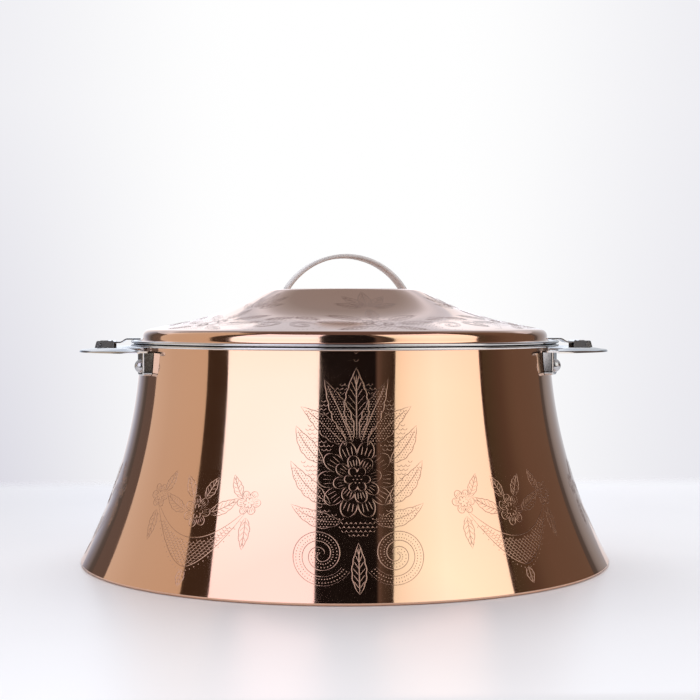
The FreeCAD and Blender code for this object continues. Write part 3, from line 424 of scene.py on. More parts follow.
def turned(profile, segments, closed=False):
    """A profile (radius, height) carried round the axis: x = radius cos a, y = radius sin a."""
    turn = np.linspace(0, FULL_TURN, segments, endpoint=False)
    radius, height = profile[:, 0, None], profile[:, 1, None]
    places = together(radius * np.cos(turn), radius * np.sin(turn), height)
    return gridded(places, wrap_rows=closed, wrap_columns=True)


def turned_at(profile, segments, center, axis):
    """A turned shape whose own axis is laid along a direction through a point."""
    places, quads = turned(profile, segments)
    axis = np.array(axis, float) / np.linalg.norm(axis)
    upright = abs(axis[2]) > NEARLY_UPRIGHT
    across = np.cross((1.0, 0, 0) if upright else (0, 0, 1.0), axis)
    across /= np.linalg.norm(across)
    basis = np.stack([across, np.cross(axis, across), axis])
    return places @ basis + np.array(center), quads


def merged(shapes):
    """Several shapes (points, faces) as one, with the face numbers moved on."""
    starts = np.cumsum([0] + [len(points) for points, _ in shapes[:-1]])
    points = np.vstack([points for points, _ in shapes])
    return points, np.vstack([quads + start for (_, quads), start in zip(shapes, starts)])


def slab(upper, lower):
    """Closed sheet between two grids of the same shape: both faces and the strips round their edges."""
    count = upper[..., 0].size
    top = np.arange(count).reshape(upper.shape[:2])
    low = top + count
    edge = np.concatenate([top[0, :], top[1:, -1], top[-1, -2::-1], top[-2:0:-1, 0]])
    rim = grid_quads(np.stack([edge, edge + count], axis=1), wrap_rows=True)
    points = np.concatenate([upper.reshape(-1, 3), lower.reshape(-1, 3)])
    return points, np.concatenate([grid_quads(top), grid_quads(low)[:, ::-1], rim[:, ::-1]])


def soften(piece, width, segments=2, limit=60.0):
    """Rounds the sharp edges of a sheet piece."""
    bevel = piece.modifiers.new("edges", "BEVEL")
    bevel.width = width
    bevel.segments = segments
    bevel.limit_method = "ANGLE"
    bevel.angle_limit = math.radians(limit)
    bevel.harden_normals = True


def plug(tree, given, socket):
    """Feeds a socket: by a link from another socket, or with a constant."""
    if isinstance(given, bpy.types.NodeSocket):
        tree.links.new(given, socket)
    else:
        socket.default_value = given


def add_node(tree, kind, *inputs, settings=(), **named):
    """A node with its settings, and with its inputs fed by place or by name."""
    node = tree.nodes.new(kind)
    for key, setting in dict(settings).items():
        setattr(node, key, setting)
    for socket, given in zip(node.inputs, inputs):
        plug(tree, given, socket)
    for key, given in named.items():
        plug(tree, given, node.inputs[key])
    return node


def blank_finish(name, **sockets):
    """A material with constant sockets of its shader set, and the coordinates of the object."""
    finish = bpy.data.materials.new(name)
    finish.use_nodes = True
    tree = finish.node_tree
    shader = tree.nodes["Principled BSDF"]
    for socket, setting in sockets.items():
        shader.inputs[socket.replace("_", " ")].default_value = setting
    return finish, tree, shader, add_node(tree, "ShaderNodeTexCoord").outputs["Object"]


def worked(tree, operation, *inputs):
    """The result of a sum on values."""
    return add_node(tree, "ShaderNodeMath", *inputs, settings={"operation": operation}).outputs[0]


def ranged(tree, factor, span, limits=(0.0, 1.0), ease="LINEAR"):
    """A value over a span, carried over to two limits."""
    settings = {"interpolation_type": ease}
    return add_node(tree, "ShaderNodeMapRange", factor, *span, *limits, settings=settings).outputs[0]


def spread(tree, factor, limits=(0.0, 1.0)):
    """A noise value spread between two limits."""
    return ranged(tree, factor, NOISE_SPAN, limits)


def mixed(tree, factor, first, second):
    """A colour between two, by a factor. Each colour is a socket or three channels."""
    node = add_node(tree, "ShaderNodeMix", settings={"data_type": "RGBA"})
    plug(tree, factor, node.inputs[MIX_FACTOR])
    for place, given in zip(MIX_COLOURS, (first, second)):
        plug(tree, given if isinstance(given, bpy.types.NodeSocket) else (*given, 1.0), node.inputs[place])
    return node.outputs[MIX_RESULT]


def noise(tree, vector, scale, detail=3.0, roughness=0.5):
    """The value of a noise at a scale per metre."""
    return add_node(tree, "ShaderNodeTexNoise", Vector=vector, Scale=scale, Detail=detail,
                    Roughness=roughness).outputs["Fac"]


def lay_bump(tree, shader, height, strength, distance):
    """A bump of a height in metres on the shader's normal."""
    bump = add_node(tree, "ShaderNodeBump", Height=height, Strength=strength, Distance=distance)
    plug(tree, bump.outputs["Normal"], shader.inputs["Normal"])


def lay_tint(tree, shader, drift, tint, deep):
    """A colour of the shader that drifts between a tint and a deeper one."""
    plug(tree, mixed(tree, drift, tint, deep), shader.inputs["Base Color"])


def darker(tint, share):
    """A tint with each channel lowered to a share."""
    return tuple(share * channel for channel in tint)


def copper_finish(name, light, deep, rough, wave):
    """Polished copper-coloured skin: slow drift of colour, faint haze of polishing and slight waviness."""
    finish, tree, shader, place = blank_finish(name, Metallic=1.0)
    lay_tint(tree, shader, spread(tree, noise(tree, place, scale=5.0, detail=2.0)), light, deep)
    haze = noise(tree, place, scale=26.0, detail=6.0, roughness=0.62)
    plug(tree, spread(tree, haze, rough), shader.inputs["Roughness"])
    lay_bump(tree, shader, noise(tree, place, scale=16.0, detail=1.0), strength=0.5, distance=wave)
    return finish


def spun_finish(name, tint, rough, lines=1500.0, center=0.0):
    """Steel with fine lines round an axis: noise over the distance from the axis and the height. With a
    centre, each side of the pot has an axis of its own at that distance."""
    finish, tree, shader, place = blank_finish(name, Metallic=1.0)
    parts = add_node(tree, "ShaderNodeSeparateXYZ", place).outputs
    side = parts["X"]
    if center:
        side = worked(tree, "SUBTRACT", worked(tree, "ABSOLUTE", side), center)
    flat = add_node(tree, "ShaderNodeCombineXYZ", side, parts["Y"]).outputs[0]
    reach = add_node(tree, "ShaderNodeVectorMath", flat, settings={"operation": "LENGTH"}).outputs["Value"]
    ring = add_node(tree, "ShaderNodeCombineXYZ", reach, parts["Z"]).outputs[0]
    grain = noise(tree, ring, lines, detail=2.0)
    blotch = noise(tree, place, scale=30.0, detail=4.0)
    lay_tint(tree, shader, spread(tree, blotch), tint, darker(tint, 0.9))
    both = worked(tree, "MULTIPLY", worked(tree, "ADD", grain, blotch), 0.5)
    plug(tree, spread(tree, both, rough), shader.inputs["Roughness"])
    lay_bump(tree, shader, grain, strength=0.4, distance=GRAIN_DEPTH)
    return finish


def brushed_finish(name, tint, rough, stretch, turn=0.0, metal=1.0):
    """Steel brushed along one direction: noise that is stretched along the strokes."""
    finish, tree, shader, place = blank_finish(name, Metallic=metal)
    strokes = add_node(tree, "ShaderNodeMapping", Vector=place, Rotation=(0.0, 0.0, -turn), Scale=stretch)
    grain = noise(tree, strokes.outputs[0], scale=1.0)
    blotch = noise(tree, place, scale=40.0, detail=4.0)
    lay_tint(tree, shader, spread(tree, blotch), tint, darker(tint, 0.88))
    plug(tree, spread(tree, grain, rough), shader.inputs["Roughness"])
    lay_bump(tree, shader, grain, strength=0.4, distance=GRAIN_DEPTH)
    return finish


def foam_finish(name, tint):
    """Rigid foam: small cells and a slow drift of colour."""
    finish, tree, shader, place = blank_finish(name, Roughness=0.9)
    cells = add_node(tree, "ShaderNodeTexVoronoi", Vector=place, Scale=450.0).outputs["Distance"]
    lay_tint(tree, shader, noise(tree, place, scale=14.0), tint, darker(tint, 0.82))
    lay_bump(tree, shader, cells, strength=0.6, distance=0.0006)
    return finish


FINISHES = {}


def finish_named(name):
    """The finish of a name, made the first time that a piece asks for it. The pairs are roughnesses. After
    them come a copper's waviness, a spun steel's lines and centre, or a brushed steel's strokes, turn and
    share of metal."""
    if name in FINISHES:
        return FINISHES[name]
    tints = bpy.context.scene.pot_finishes
    copper = (tints.copper, tints.copper_deep)
    loop_center = pot_levels(bpy.context.scene).grip_center
    strap_turn = bpy.context.scene.pot_lid.strap_turn
    makers = {
        "polished_copper": (copper_finish, *copper, (0.03, 0.075), 0.00012),
        "lid_copper": (copper_finish, *copper, (0.06, 0.11), 0.00006),
        "engraved_copper": (copper_finish, tints.engraved, tints.engraved_deep, (0.14, 0.22), 0.00002),
        "spun_steel": (spun_finish, tints.bright_steel, (0.06, 0.17)),
        "loop_steel": (spun_finish, tints.satin_steel, (0.10, 0.18), 1100.0, loop_center),
        "lever_steel": (brushed_finish, tints.satin_steel, (0.10, 0.20), SHORT_STROKES),
        "strap_steel": (brushed_finish, tints.pale_steel, (0.38, 0.46), LONG_STROKES, strap_turn, 0.28),
        "bracket_steel": (brushed_finish, tints.dark_steel, (0.34, 0.44), SHORT_STROKES, 0.0, 0.25),
        "rivet_steel": (spun_finish, tints.rivet_steel, (0.14, 0.30), 700.0),
        "base_steel": (spun_finish, tints.satin_steel, (0.22, 0.36), 500.0),
        "cream_foam": (foam_finish, tints.foam),
    }
    maker, *values = makers[name]
    FINISHES[name] = maker(name, *values)
    return FINISHES[name]


class POT_OT_shell(Operator):
    """Flared shell: a hollow circular flare with a hemmed foot, turned about the axis"""

    bl_idname = "serving_pot.shell"
    bl_label = "Shell"

    def execute(self, context):
        at = pot_levels(context.scene)
        pot = at.pot
        heights = np.linspace(at.shell_top, pot.hem_bend, FLARE_STEPS)
        wall = together(shell_radius(at, heights), heights)
        inner = wall[::-1] - (pot.sheet, 0)
        bend = np.linspace(0, math.pi / 2, HEM_STEPS)[1:]
        toe = together(np.cos(bend), 1 - np.sin(bend)) * pot.hem_bend
        toe += (pot.base_radius - pot.hem_bend, 0)
        fold = spokes(-bend[::-1]) * (pot.hem_bend - pot.sheet)
        fold += (pot.base_radius - pot.hem_bend, pot.hem_bend)
        hem = together(pot.base_radius - pot.hem_width, (0, pot.sheet))
        profile = np.vstack([wall, toe, hem, fold, inner])
        make_piece("shell_skin", turned(profile, pot.shell_segments, closed=True), "pot",
                   "polished_copper", ("outer_shell",), sharp=20.0)
        return {"FINISHED"}


def bead_arc(at, up):
    """Rolled bead: nearly a full circle of the bead's radius that starts and ends on its flange."""
    pot = at.pot
    rise = pot.bead_gap + pot.bead_radius - pot.sheet
    root = math.asin(rise / pot.bead_radius)
    turn = np.linspace(-math.pi / 2, math.pi + root, BEAD_STEPS)
    circle = spokes(turn) * pot.bead_radius + (0, pot.bead_gap + pot.bead_radius)
    return circle * (1, 1 if up else -1) + (at.bead_center, at.rim)


class POT_OT_liner(Operator):
    """Drawn liner: floor, tapered wall and a rim that is rolled into a bead, turned about the axis"""

    bl_idname = "serving_pot.liner"
    bl_label = "Liner"

    def execute(self, context):
        at = pot_levels(context.scene)
        pot = at.pot
        floor_radius = at.mouth - pot.liner_taper
        upper = outline([
            (0, pot.floor_height, 0),
            (floor_radius, pot.floor_height, pot.floor_bend),
            (at.mouth, at.rim, pot.mouth_bend),
            (at.bead_turn, at.rim, 0),
        ])
        bead = bead_arc(at, up=False)
        under = outline([
            (bead[-1, 0], at.shell_top, 0),
            (at.mouth + pot.sheet, at.shell_top, pot.mouth_bend - pot.sheet),
            (floor_radius + pot.sheet, pot.floor_height - pot.sheet, pot.floor_bend + pot.sheet),
            (0, pot.floor_height - pot.sheet, 0),
        ])
        profile = densed(np.vstack([upper, bead, under[1:]]), LONGEST_RUN)
        make_piece("steel_liner", turned(profile, pot.segments), "pot", "spun_steel",
                   ("inner_pot",))
        return {"FINISHED"}


class POT_OT_base(Operator):
    """Pressed base plate: a ring on the hem and a raised middle, turned about the axis"""

    bl_idname = "serving_pot.base"
    bl_label = "Base Plate"

    def execute(self, context):
        pot = context.scene.pot_sizes
        press = pot.base_radius - pot.base_ledge
        low = pot.sheet
        high = low + pot.base_press
        edge = pot.base_radius - pot.hem_bend - pot.base_fit
        bend = 2 * pot.sheet
        under = outline([(0, high, 0), (press, high, bend), (press + pot.base_press, low, bend),
                         (edge, low, 0)])
        profile = densed(np.vstack([under, under[::-1] + (0, pot.sheet)]), LONGEST_RUN)
        make_piece("pressed_base", turned(profile, pot.segments), "pot", "base_steel",
                   ("base_plate",))
        return {"FINISHED"}


def lid_line(at, drop=0.0):
    """Outer line of the lid from the foot of its band to the middle of the recess, lowered by a sheet."""
    lid = at.lid
    side = at.band - drop
    foot = at.rim + 2 * at.pot.sheet - drop
    return outline([
        (at.band + lid.band_flare + lid.band_lip, foot, 0),
        (side, foot, lid.band_flare + drop),
        (side, at.shoulder - drop, lid.shoulder_bend - drop),
        (at.knee_r, at.knee_z - drop, lid.knee_bend),
        (at.crown_r, at.crown_z - drop, lid.crown_bend - drop),
        (at.recess_r, at.crown_z - drop, lid.recess_bend),
        (at.recess_r - lid.recess_depth, at.recess_z - drop, lid.recess_bend),
        (0, at.recess_z - drop, 0),
    ], steps=13)


class POT_OT_lid_skin(Operator):
    """Lid skin: upright band on a flared foot, two slopes with a hollow knee and a recessed crown, turned"""

    bl_idname = "serving_pot.lid_skin"
    bl_label = "Lid Skin"

    def execute(self, context):
        at = pot_levels(context.scene)
        profile = densed(np.vstack([lid_line(at, at.pot.sheet)[::-1], lid_line(at)]), LONGEST_LID_RUN)
        make_piece("lid_skin", turned(profile, at.pot.segments), "lid", "lid_copper",
                   ("lid_cover",))
        return {"FINISHED"}


class POT_OT_lid_pan(Operator):
    """Lid pan: a plug that enters the mouth and a flange that is rolled into a bead, turned"""

    bl_idname = "serving_pot.lid_pan"
    bl_label = "Lid Pan"

    def execute(self, context):
        at = pot_levels(context.scene)
        pot, lid = at.pot, at.lid
        plug_radius = at.mouth - lid.plug_gap
        inner = plug_radius - pot.sheet
        floor = at.rim - lid.plug_depth
        under = outline([
            (0, floor, 0),
            (plug_radius, floor, lid.plug_bend),
            (plug_radius, at.rim, lid.plug_lip),
            (at.bead_turn, at.rim, 0),
        ])
        bead = bead_arc(at, up=True)
        upper = outline([
            (bead[-1, 0], at.rim + pot.sheet, 0),
            (inner, at.rim + pot.sheet, lid.plug_lip + pot.sheet),
            (inner, floor + pot.sheet, lid.plug_bend - pot.sheet),
            (0, floor + pot.sheet, 0),
        ])
        profile = densed(np.vstack([under, bead, upper[1:]]), LONGEST_RUN)
        make_piece("lid_lining", turned(profile, pot.segments), "lid", "spun_steel",
                   ("lid_pan",))
        return {"FINISHED"}


def dome(head, rise, sink):
    """Rivet head: a spherical cap on a short straight edge, closed below the surface it sits on."""
    radius = (head ** 2 + rise ** 2) / (2 * rise)
    lift = np.linspace(0, math.asin(head / radius), CAP_STEPS)[::-1]
    cap = together(radius * np.sin(lift), rise - radius * (1 - np.cos(lift)))
    return np.vstack([[(0, -sink), (head, -sink)], cap])


class POT_OT_strap(Operator):
    """Strap handle: a flat section carried along feet, legs and a circular arch, with two rivets"""

    bl_idname = "serving_pot.strap"
    bl_label = "Strap Handle"

    FOOT_STEPS, LEG_STEPS, ARCH_STEPS = 8, 4, 91
    RIVET_SEGMENTS = 40

    def execute(self, context):
        at = pot_levels(context.scene)
        lid = at.lid
        floor = at.recess_z
        leg = at.recess_r - lid.recess_depth - lid.strap_inset
        top = at.crown_z + lid.strap_rise
        spring = floor + lid.strap_spring
        rise = top - spring
        radius = (leg ** 2 + rise ** 2) / (2 * rise)
        inner_leg, inner_radius = leg - lid.strap_wall, radius - lid.strap_wall
        inner_spring = top - radius + math.sqrt(inner_radius ** 2 - inner_leg ** 2)
        foot_top, foot_end = floor + lid.strap_foot_wall, leg - lid.strap_foot
        outer = self.line(leg, floor, lid.strap_heel, spring, radius, top, foot_end)
        inner = self.line(inner_leg, foot_top, lid.strap_inner_heel, inner_spring, inner_radius,
                          top - lid.strap_wall, foot_end)
        make_piece("lid_strap", self.carried(lid, outer, inner), "lid", "strap_steel",
                   ("lid_handle",))
        head = dome(lid.rivet_head, lid.rivet_dome, lid.strap_foot_wall / 2)
        reach = leg - lid.rivet_setback
        spots = [(*swung(side * reach, 0, lid.strap_turn), foot_top) for side in SIDES.values()]
        heads = [turned_at(head, self.RIVET_SEGMENTS, spot, (0, 0, 1)) for spot in spots]
        make_piece("strap_rivets", merged(heads), "lid", "rivet_steel", ("lid_handle_rivets",))
        return {"FINISHED"}

    def line(self, leg, floor, heel, spring, radius, top, foot_end):
        """One line of the strap from foot to foot: foot, heel bend, leg and arch, with fixed counts."""
        foot = together(np.linspace(foot_end, leg - heel, self.FOOT_STEPS), floor)[:-1]
        turn = np.linspace(-math.pi / 2, 0, self.FOOT_STEPS)
        bend = spokes(turn) * heel + (leg - heel, floor + heel)
        post = together(leg, np.linspace(floor + heel, spring, self.LEG_STEPS))[1:-1]
        start = math.asin(leg / radius)
        sweep = np.linspace(start, -start, self.ARCH_STEPS)
        arch = together(radius * np.sin(sweep), top - radius + radius * np.cos(sweep))
        side = np.vstack([foot, bend, post])
        return np.vstack([side, arch, side[::-1] * (-1, 1)])

    @staticmethod
    def carried(lid, outer, inner):
        """A rectangle with round corners carried from foot to foot between two lines: its depth is the
        share of the way from the outer to the inner line, its width is laid across, and both ends are
        closed to a point."""
        half, deep, edge = lid.strap_width / 2, lid.strap_wall, lid.strap_edge
        corners = [(-half, 0, edge), (half, 0, edge), (half, deep, edge), (-half, deep, edge)]
        ring = outline(corners, closed=True, steps=7)
        share = ring[:, 1, None] / deep
        lines = outer[:, None] * (1 - share) + inner[:, None] * share
        ends = [np.broadcast_to(lines[end].mean(axis=0), lines[:1].shape) for end in (0, -1)]
        across = np.pad(np.broadcast_to(ring[:, 0], lines.shape[:2]), ((1, 1), (0, 0)))
        lines = np.concatenate([ends[0], lines, ends[1]])
        places = together(*swung(lines[..., 0], across, lid.strap_turn), lines[..., 1])
        return gridded(places, wrap_columns=True)


class POT_OT_grips(Operator):
    """Side handles: a channel carried round a loop and cut to the flare, on two hollow feet"""

    bl_idname = "serving_pot.grips"
    bl_label = "Side Handles"

    LOOP_STEPS, FACE_STEPS, EDGE_STEPS = 97, 13, 6
    # In shares of half the loop: half the latch's seat, and the eases of the crown beside it and at the ends.
    SEAT, SEAT_EASE, END_EASE = 0.14, 0.2, 0.3
    # Share of a foot's half width at which a ring divides its inner and its outer face.
    FACE_RING = 0.4

    def execute(self, context):
        at = pot_levels(context.scene)
        points, quads = merged([self.loop(at), self.foot(at, at.foot_turn), self.foot(at, -at.foot_turn)])
        for name, side in SIDES.items():
            make_piece(name + "_grip", (points * (side, side, 1), quads), "pot", "loop_steel",
                       (name + "_handle",), sharp=38.0)
        return {"FINISHED"}

    def loop(self, at):
        """Each line of the channel runs round the loop's centre until it meets the flare: there the cosine
        of its angle is (flare^2 - centre^2 - radius^2) / (2 centre radius), or until it is flush with its
        foot. The upper face is crowned by a parabola across it, but for the latch's seat and the ends."""
        grip, center = at.grip, at.grip_center
        outer, top, bend = at.grip_reach, at.grip_top, grip.shoulder
        inner, low = outer - grip.width, top - grip.lip
        over = outline([(inner, low, 0), (inner, top, bend), (outer, top, bend), (outer, low, 0)])
        inside, roof = bend - grip.wall, top - grip.wall
        under = outline([(inner + grip.wall, low, 0), (inner + grip.wall, roof, inside),
                         (outer - grip.wall, roof, inside), (outer - grip.wall, low, 0)])
        way = np.linspace(-1, 1, self.LOOP_STEPS)[:, None]
        part = np.abs(way)
        crest = eased((part - self.SEAT) / self.SEAT_EASE) * eased((1 - part) / self.END_EASE)
        flush = grip.foot_width / 2 + grip.end_margin + center * math.sin(at.foot_turn)
        faces = []
        for line in (over, under):
            half = len(line) // 2
            middle = np.linspace(line[half - 1], line[half], self.FACE_STEPS)[1:-1]
            line = np.vstack([line[:half], middle, line[half:]])
            radius, height = line[:, 0] - center, line[:, 1]
            swell = np.clip(1 - ((radius - grip.arc) / (grip.width / 2 - bend)) ** 2, 0, 1)
            flare = shell_radius(at, height) + grip.seat_gap
            end = np.arccos((flare ** 2 - center ** 2 - radius ** 2) / (2 * center * radius))
            end = np.minimum(end, at.foot_turn + np.arcsin(np.clip(flush / radius, -1, 1)))
            turn = way * end
            faces.append(together(center + radius * np.cos(turn), radius * np.sin(turn),
                                  height + grip.crown * swell * crest))
        return slab(*faces)

    def foot(self, at, turn):
        """A hollow foot: rings of one outline, from the middle of its inner face out to the shell, back
        along its drawn-in outer side, over a rounded edge and in to the middle of its outer face. Its head
        keeps level."""
        grip, face, edge = at.grip, at.foot_reach, at.grip.foot_edge
        half, low = grip.foot_width / 2, at.rivet_z - grip.foot_below
        high = at.grip_top - grip.wall / 2
        ring = outline([(-half, high, 0), (-half, low, grip.foot_corner), (half, low, grip.foot_corner),
                        (half, high, 0)])
        ring = densed(np.vstack([ring, ring[:1]]), LONGEST_FOOT_RUN)[:-1]
        inset, slim = 1 - grip.wall / half, 1 - grip.foot_draft / half
        flare = shell_radius(at, ring[:, 1]) + grip.seat_gap
        seat = np.sqrt(flare ** 2 - ring[:, 0] ** 2)
        round_off = np.linspace(0, math.pi / 2, self.EDGE_STEPS)[1:]
        shares = [0.0, self.FACE_RING, slim - grip.wall / half, inset, 1.0, slim]
        shares += list(slim - edge / half * (1 - np.cos(round_off))) + [self.FACE_RING, 0.0]
        depths = [face - grip.wall] * 3 + [seat, seat, face - edge]
        depths += list(face - edge * (1 - np.sin(round_off))) + [face, face]
        share = np.array(shares)[:, None]
        depth = np.array([np.broadcast_to(level, seat.shape) for level in depths])
        out, rise = (ring - (0, at.rivet_z)).T
        drawn = np.where(rise > 0, 1, np.minimum(share / slim, 1))
        rise = rise * np.where(share > self.FACE_RING, drawn, share) + at.rivet_z
        return gridded(together(*swung(depth, out * share, turn), rise), wrap_columns=True)


class POT_OT_rivets(Operator):
    """Domed rivets of the side handles: spherical caps turned about lines that point at the pot's axis"""

    bl_idname = "serving_pot.rivets"
    bl_label = "Handle Rivets"

    SEGMENTS = 48

    def execute(self, context):
        at = pot_levels(context.scene)
        head = dome(at.grip.rivet_head, at.grip.rivet_dome, at.grip.wall)
        for name, side in SIDES.items():
            heads = []
            for turn in (at.foot_turn, -at.foot_turn):
                way = np.array([*swung(side, 0, turn), 0])
                spot = way * at.foot_reach + (0, 0, at.rivet_z)
                heads.append(turned_at(head, self.SEGMENTS, spot, way))
            make_piece(name + "_grip_rivets", merged(heads), "pot", "rivet_steel",
                       (name + "_handle_rivets",))
        return {"FINISHED"}


class POT_OT_latches(Operator):
    """Latch levers: a sheet carried from the tongue over its step and ribs, and rolled round the pin"""

    bl_idname = "serving_pot.latches"
    bl_label = "Latch Levers"

    WIDTH_STEPS, TONGUE_STEPS, SLOPE_STEPS, STRIP_STEPS, ROLL_STEPS = 9, 8, 15, 81, 40
    RIBS = 2
    ROLL_END = -1.18 * math.pi

    def execute(self, context):
        at = pot_levels(context.scene)
        across = np.linspace(-1, 1, self.WIDTH_STEPS) * at.grip.lever_width / 2
        faces = [together(line[:, 0, None], across, line[:, 1, None]) for line in self.lines(at)]
        points, quads = slab(*faces)
        for name, side in SIDES.items():
            piece = make_piece(name + "_lever", (points * (side, side, 1), quads), name + "_latch",
                               "lever_steel", (name + "_latch_lever",), sharp=50.0)
            soften(piece, at.grip.lever_edge)
        return {"FINISHED"}

    def lines(self, at):
        """Upper and lower line of the sheet, point for point: tongue, step with a cosine slope, strip with
        two rounded ribs, and an arc about the pin."""
        grip, pot = at.grip, at.pot
        pin = at.grip_reach - grip.pin_inset
        knuckle = grip.pin_bore + grip.knuckle_wall
        pin_z = at.grip_top + grip.bracket_wall + grip.latch_gap + knuckle
        strip = pin_z + knuckle
        tongue = at.rim + pot.bead_gap + 2 * pot.bead_radius + grip.latch_gap + grip.lever_wall
        step_end = at.bead_reach + grip.step_clear
        x = np.unique(np.concatenate([
            np.linspace(at.band + grip.tongue_gap, step_end, self.TONGUE_STEPS),
            np.linspace(step_end, step_end + grip.step_run, self.SLOPE_STEPS),
            np.linspace(step_end + grip.step_run, pin, self.STRIP_STEPS),
        ]))
        share = np.clip((x - step_end) / grip.step_run, 0, 1)
        slope = tongue + (strip - tongue) * (1 - np.cos(math.pi * share)) / 2
        arc = (grip.rib_half ** 2 + grip.rib_rise ** 2) / (2 * grip.rib_rise)
        rib = np.zeros_like(x)
        for number in range(self.RIBS):
            offset = np.clip((x - pin + grip.rib_setback - number * grip.rib_pitch) / grip.rib_half, -1, 1)
            rib += np.sqrt(arc ** 2 - (offset * grip.rib_half) ** 2) - (arc - grip.rib_rise)
        roll = spokes(np.linspace(math.pi / 2, self.ROLL_END, self.ROLL_STEPS)[1:])
        over = np.vstack([together(x, slope + rib), roll * knuckle + (pin, pin_z)])
        under = np.vstack([together(x, slope - grip.lever_wall), roll * grip.pin_bore + (pin, pin_z)])
        return over, under


class POT_OT_carried_over(Operator):
    """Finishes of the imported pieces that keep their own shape: brackets, pins, washers and foam"""

    bl_idname = "serving_pot.carried_over"
    bl_label = "Carried-Over Pieces"

    def execute(self, context):
        finishes = {"pot_insulation": "cream_foam", "lid_insulation": "cream_foam",
                    "lid_rivet_washers": "rivet_steel"}
        for name in SIDES:
            finishes[name + "_latch_bracket"] = "bracket_steel"
            for part in ("_latch_pin", "_rivet_washers", "_bracket_rivets"):
                finishes[name + part] = "rivet_steel"
        for node, finish in finishes.items():
            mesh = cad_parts[node].data
            mesh.materials.clear()
            mesh.materials.append(finish_named(finish))
        return {"FINISHED"}


# Section of a chased line, closed below the wall: offsets in half widths, and lifts in heights.
RIDGE = np.array([(-1.0, -0.35), (-0.5, 0.9), (0.5, 0.9), (1.0, -0.35)])
# Narrowing of a chased line at its ends: share of its length, least width and power.
TAPER_RUN, TAPER_LEAST, TAPER_POWER = 0.14, 0.10, 0.7
# A stud's corners, the sizes of its two rings in radii, their lifts in heights, and their closing faces.
STUD_CORNERS = 6
STUD_SIZES, STUD_LIFTS = np.array([[1.0], [0.5]]), np.array([[-0.4], [1.0]])
STUD_CAPS = np.array([(3, 2, 1, 0), (5, 4, 3, 0), (6, 7, 8, 9), (6, 9, 10, 11)])
# A leaf's own measures, in shares of its length or width: lean of the swell to the root, depth of the
# scallops, midrib, roots of the veins, rise of a vein along the midrib, its reach to the edge, and where
# its line starts.
LEAF_LEAN, SCALLOP = 0.8, 0.14
MIDRIB, VEIN_ROOTS, VEIN_RISE, VEIN_REACH, VEIN_START = (0.02, 0.9), (0.1, 0.74), 0.15, 0.8, 0.12
# A rosette's own measures: power of the swing, spread of a petal's three veins in petals, and their ends.
PETAL_POWER, PETAL_VEINS, PETAL_VEIN_ENDS = 0.5, (-0.22, 0.0, 0.22), (0.12, 0.66)
# A volute's own measures: fall of the radius, end of the inner line, least inner radius, first stud, pitch of
# the studs, and their offset from the middle in gaps.
VOLUTE_FALL, VOLUTE_INNER_END, VOLUTE_LEAST = 0.88, 0.86, 0.4
VOLUTE_FIRST, VOLUTE_PITCH, VOLUTE_OFFSET = 1.0, 1.9, 0.2
# Rise from row to row of a close-set grid, in pitches, and half the count of its columns.
ROW_RISE, HALF_GRID = 0.87, 60
# Clearance of spots inside a leaf and of spots round it, and ends of a scale's arc in half turns.
LEAF_MARGIN, GROUND_MARGIN, SCALE_ARC = 0.85, 1.0, (1.04, 1.96)
# Counts of points along a leaf, its midrib, a vein, a petal, a volute and a scale, and of the places along a
# leaf from which spots inside it are measured.
LEAF_STEPS, MIDRIB_STEPS, VEIN_STEPS, PETAL_STEPS = 25, 13, 6, 18
VOLUTE_STEPS, SCALE_STEPS, INSIDE_STEPS = 97, 7, 41

Leaf = namedtuple("Leaf", "across along size width lean curl veins")


def run_along(points):
    """The run along a line, from its start to each of its points."""
    return np.concatenate([[0], np.cumsum(np.linalg.norm(np.diff(points, axis=0), axis=1))])


def wall_line(points):
    """A line up a wall with the run along it, and at each place the radius, height and outward normal."""
    run = run_along(points)
    even = np.linspace(0, run[-1], WALL_STEPS)
    radius, height = np.interp(even, run, points[:, 0]), np.interp(even, run, points[:, 1])
    tangent = together(np.gradient(radius, even), np.gradient(height, even))
    tangent /= np.linalg.norm(tangent, axis=1, keepdims=True)
    return even, radius, height, tangent[:, 1], -tangent[:, 0]


def on_wall(wall, across, along, lift, azimuths):
    """Places on a turned wall: the run along it gives radius and height, the distance across it divided by
    the radius gives the turn from each azimuth, and the lift goes along the wall's normal."""
    radius, height, out, up = [np.interp(along[None], wall[0], values) for values in wall[1:]]
    turn = np.asarray(azimuths).reshape(-1, 1, 1, 1) + across[None] / radius
    reach = radius + out * lift
    return together(reach * np.sin(turn), -reach * np.cos(turn), height + up * lift)


def repeated(places, quads, size):
    """The faces of a shape repeated for each set of its points."""
    starts = np.arange(0, places.size // 3, size)
    return places.reshape(-1, 3), (quads[None] + starts[:, None, None]).reshape(-1, 4)


def ridges(wall, strokes, width, rise, azimuths):
    """Chased lines: a flat-topped section carried along each stroke, narrowed towards both ends."""
    shapes = []
    for count in sorted({len(stroke) for stroke in strokes}):
        group = np.stack([stroke for stroke in strokes if len(stroke) == count]) * MM
        tangent = np.gradient(group, axis=1)
        tangent /= np.maximum(np.linalg.norm(tangent, axis=2, keepdims=True), TINY)
        share = np.linspace(0, 1, count)[:, None]
        taper = np.clip(np.minimum(share, 1 - share) / TAPER_RUN, TAPER_LEAST, 1.0) ** TAPER_POWER
        offset = RIDGE[:, 0] * taper * width / 2
        across = group[..., 0, None] - tangent[..., 1, None] * offset
        along = group[..., 1, None] + tangent[..., 0, None] * offset
        places = on_wall(wall, across, along, RIDGE[:, 1] * taper * rise, azimuths)
        index = np.arange(count * len(RIDGE)).reshape(count, len(RIDGE))
        quads = np.vstack([grid_quads(index, wrap_columns=True), index[:1], index[-1:, ::-1]])
        shapes.append(repeated(places, quads, index.size))
    return merged(shapes)


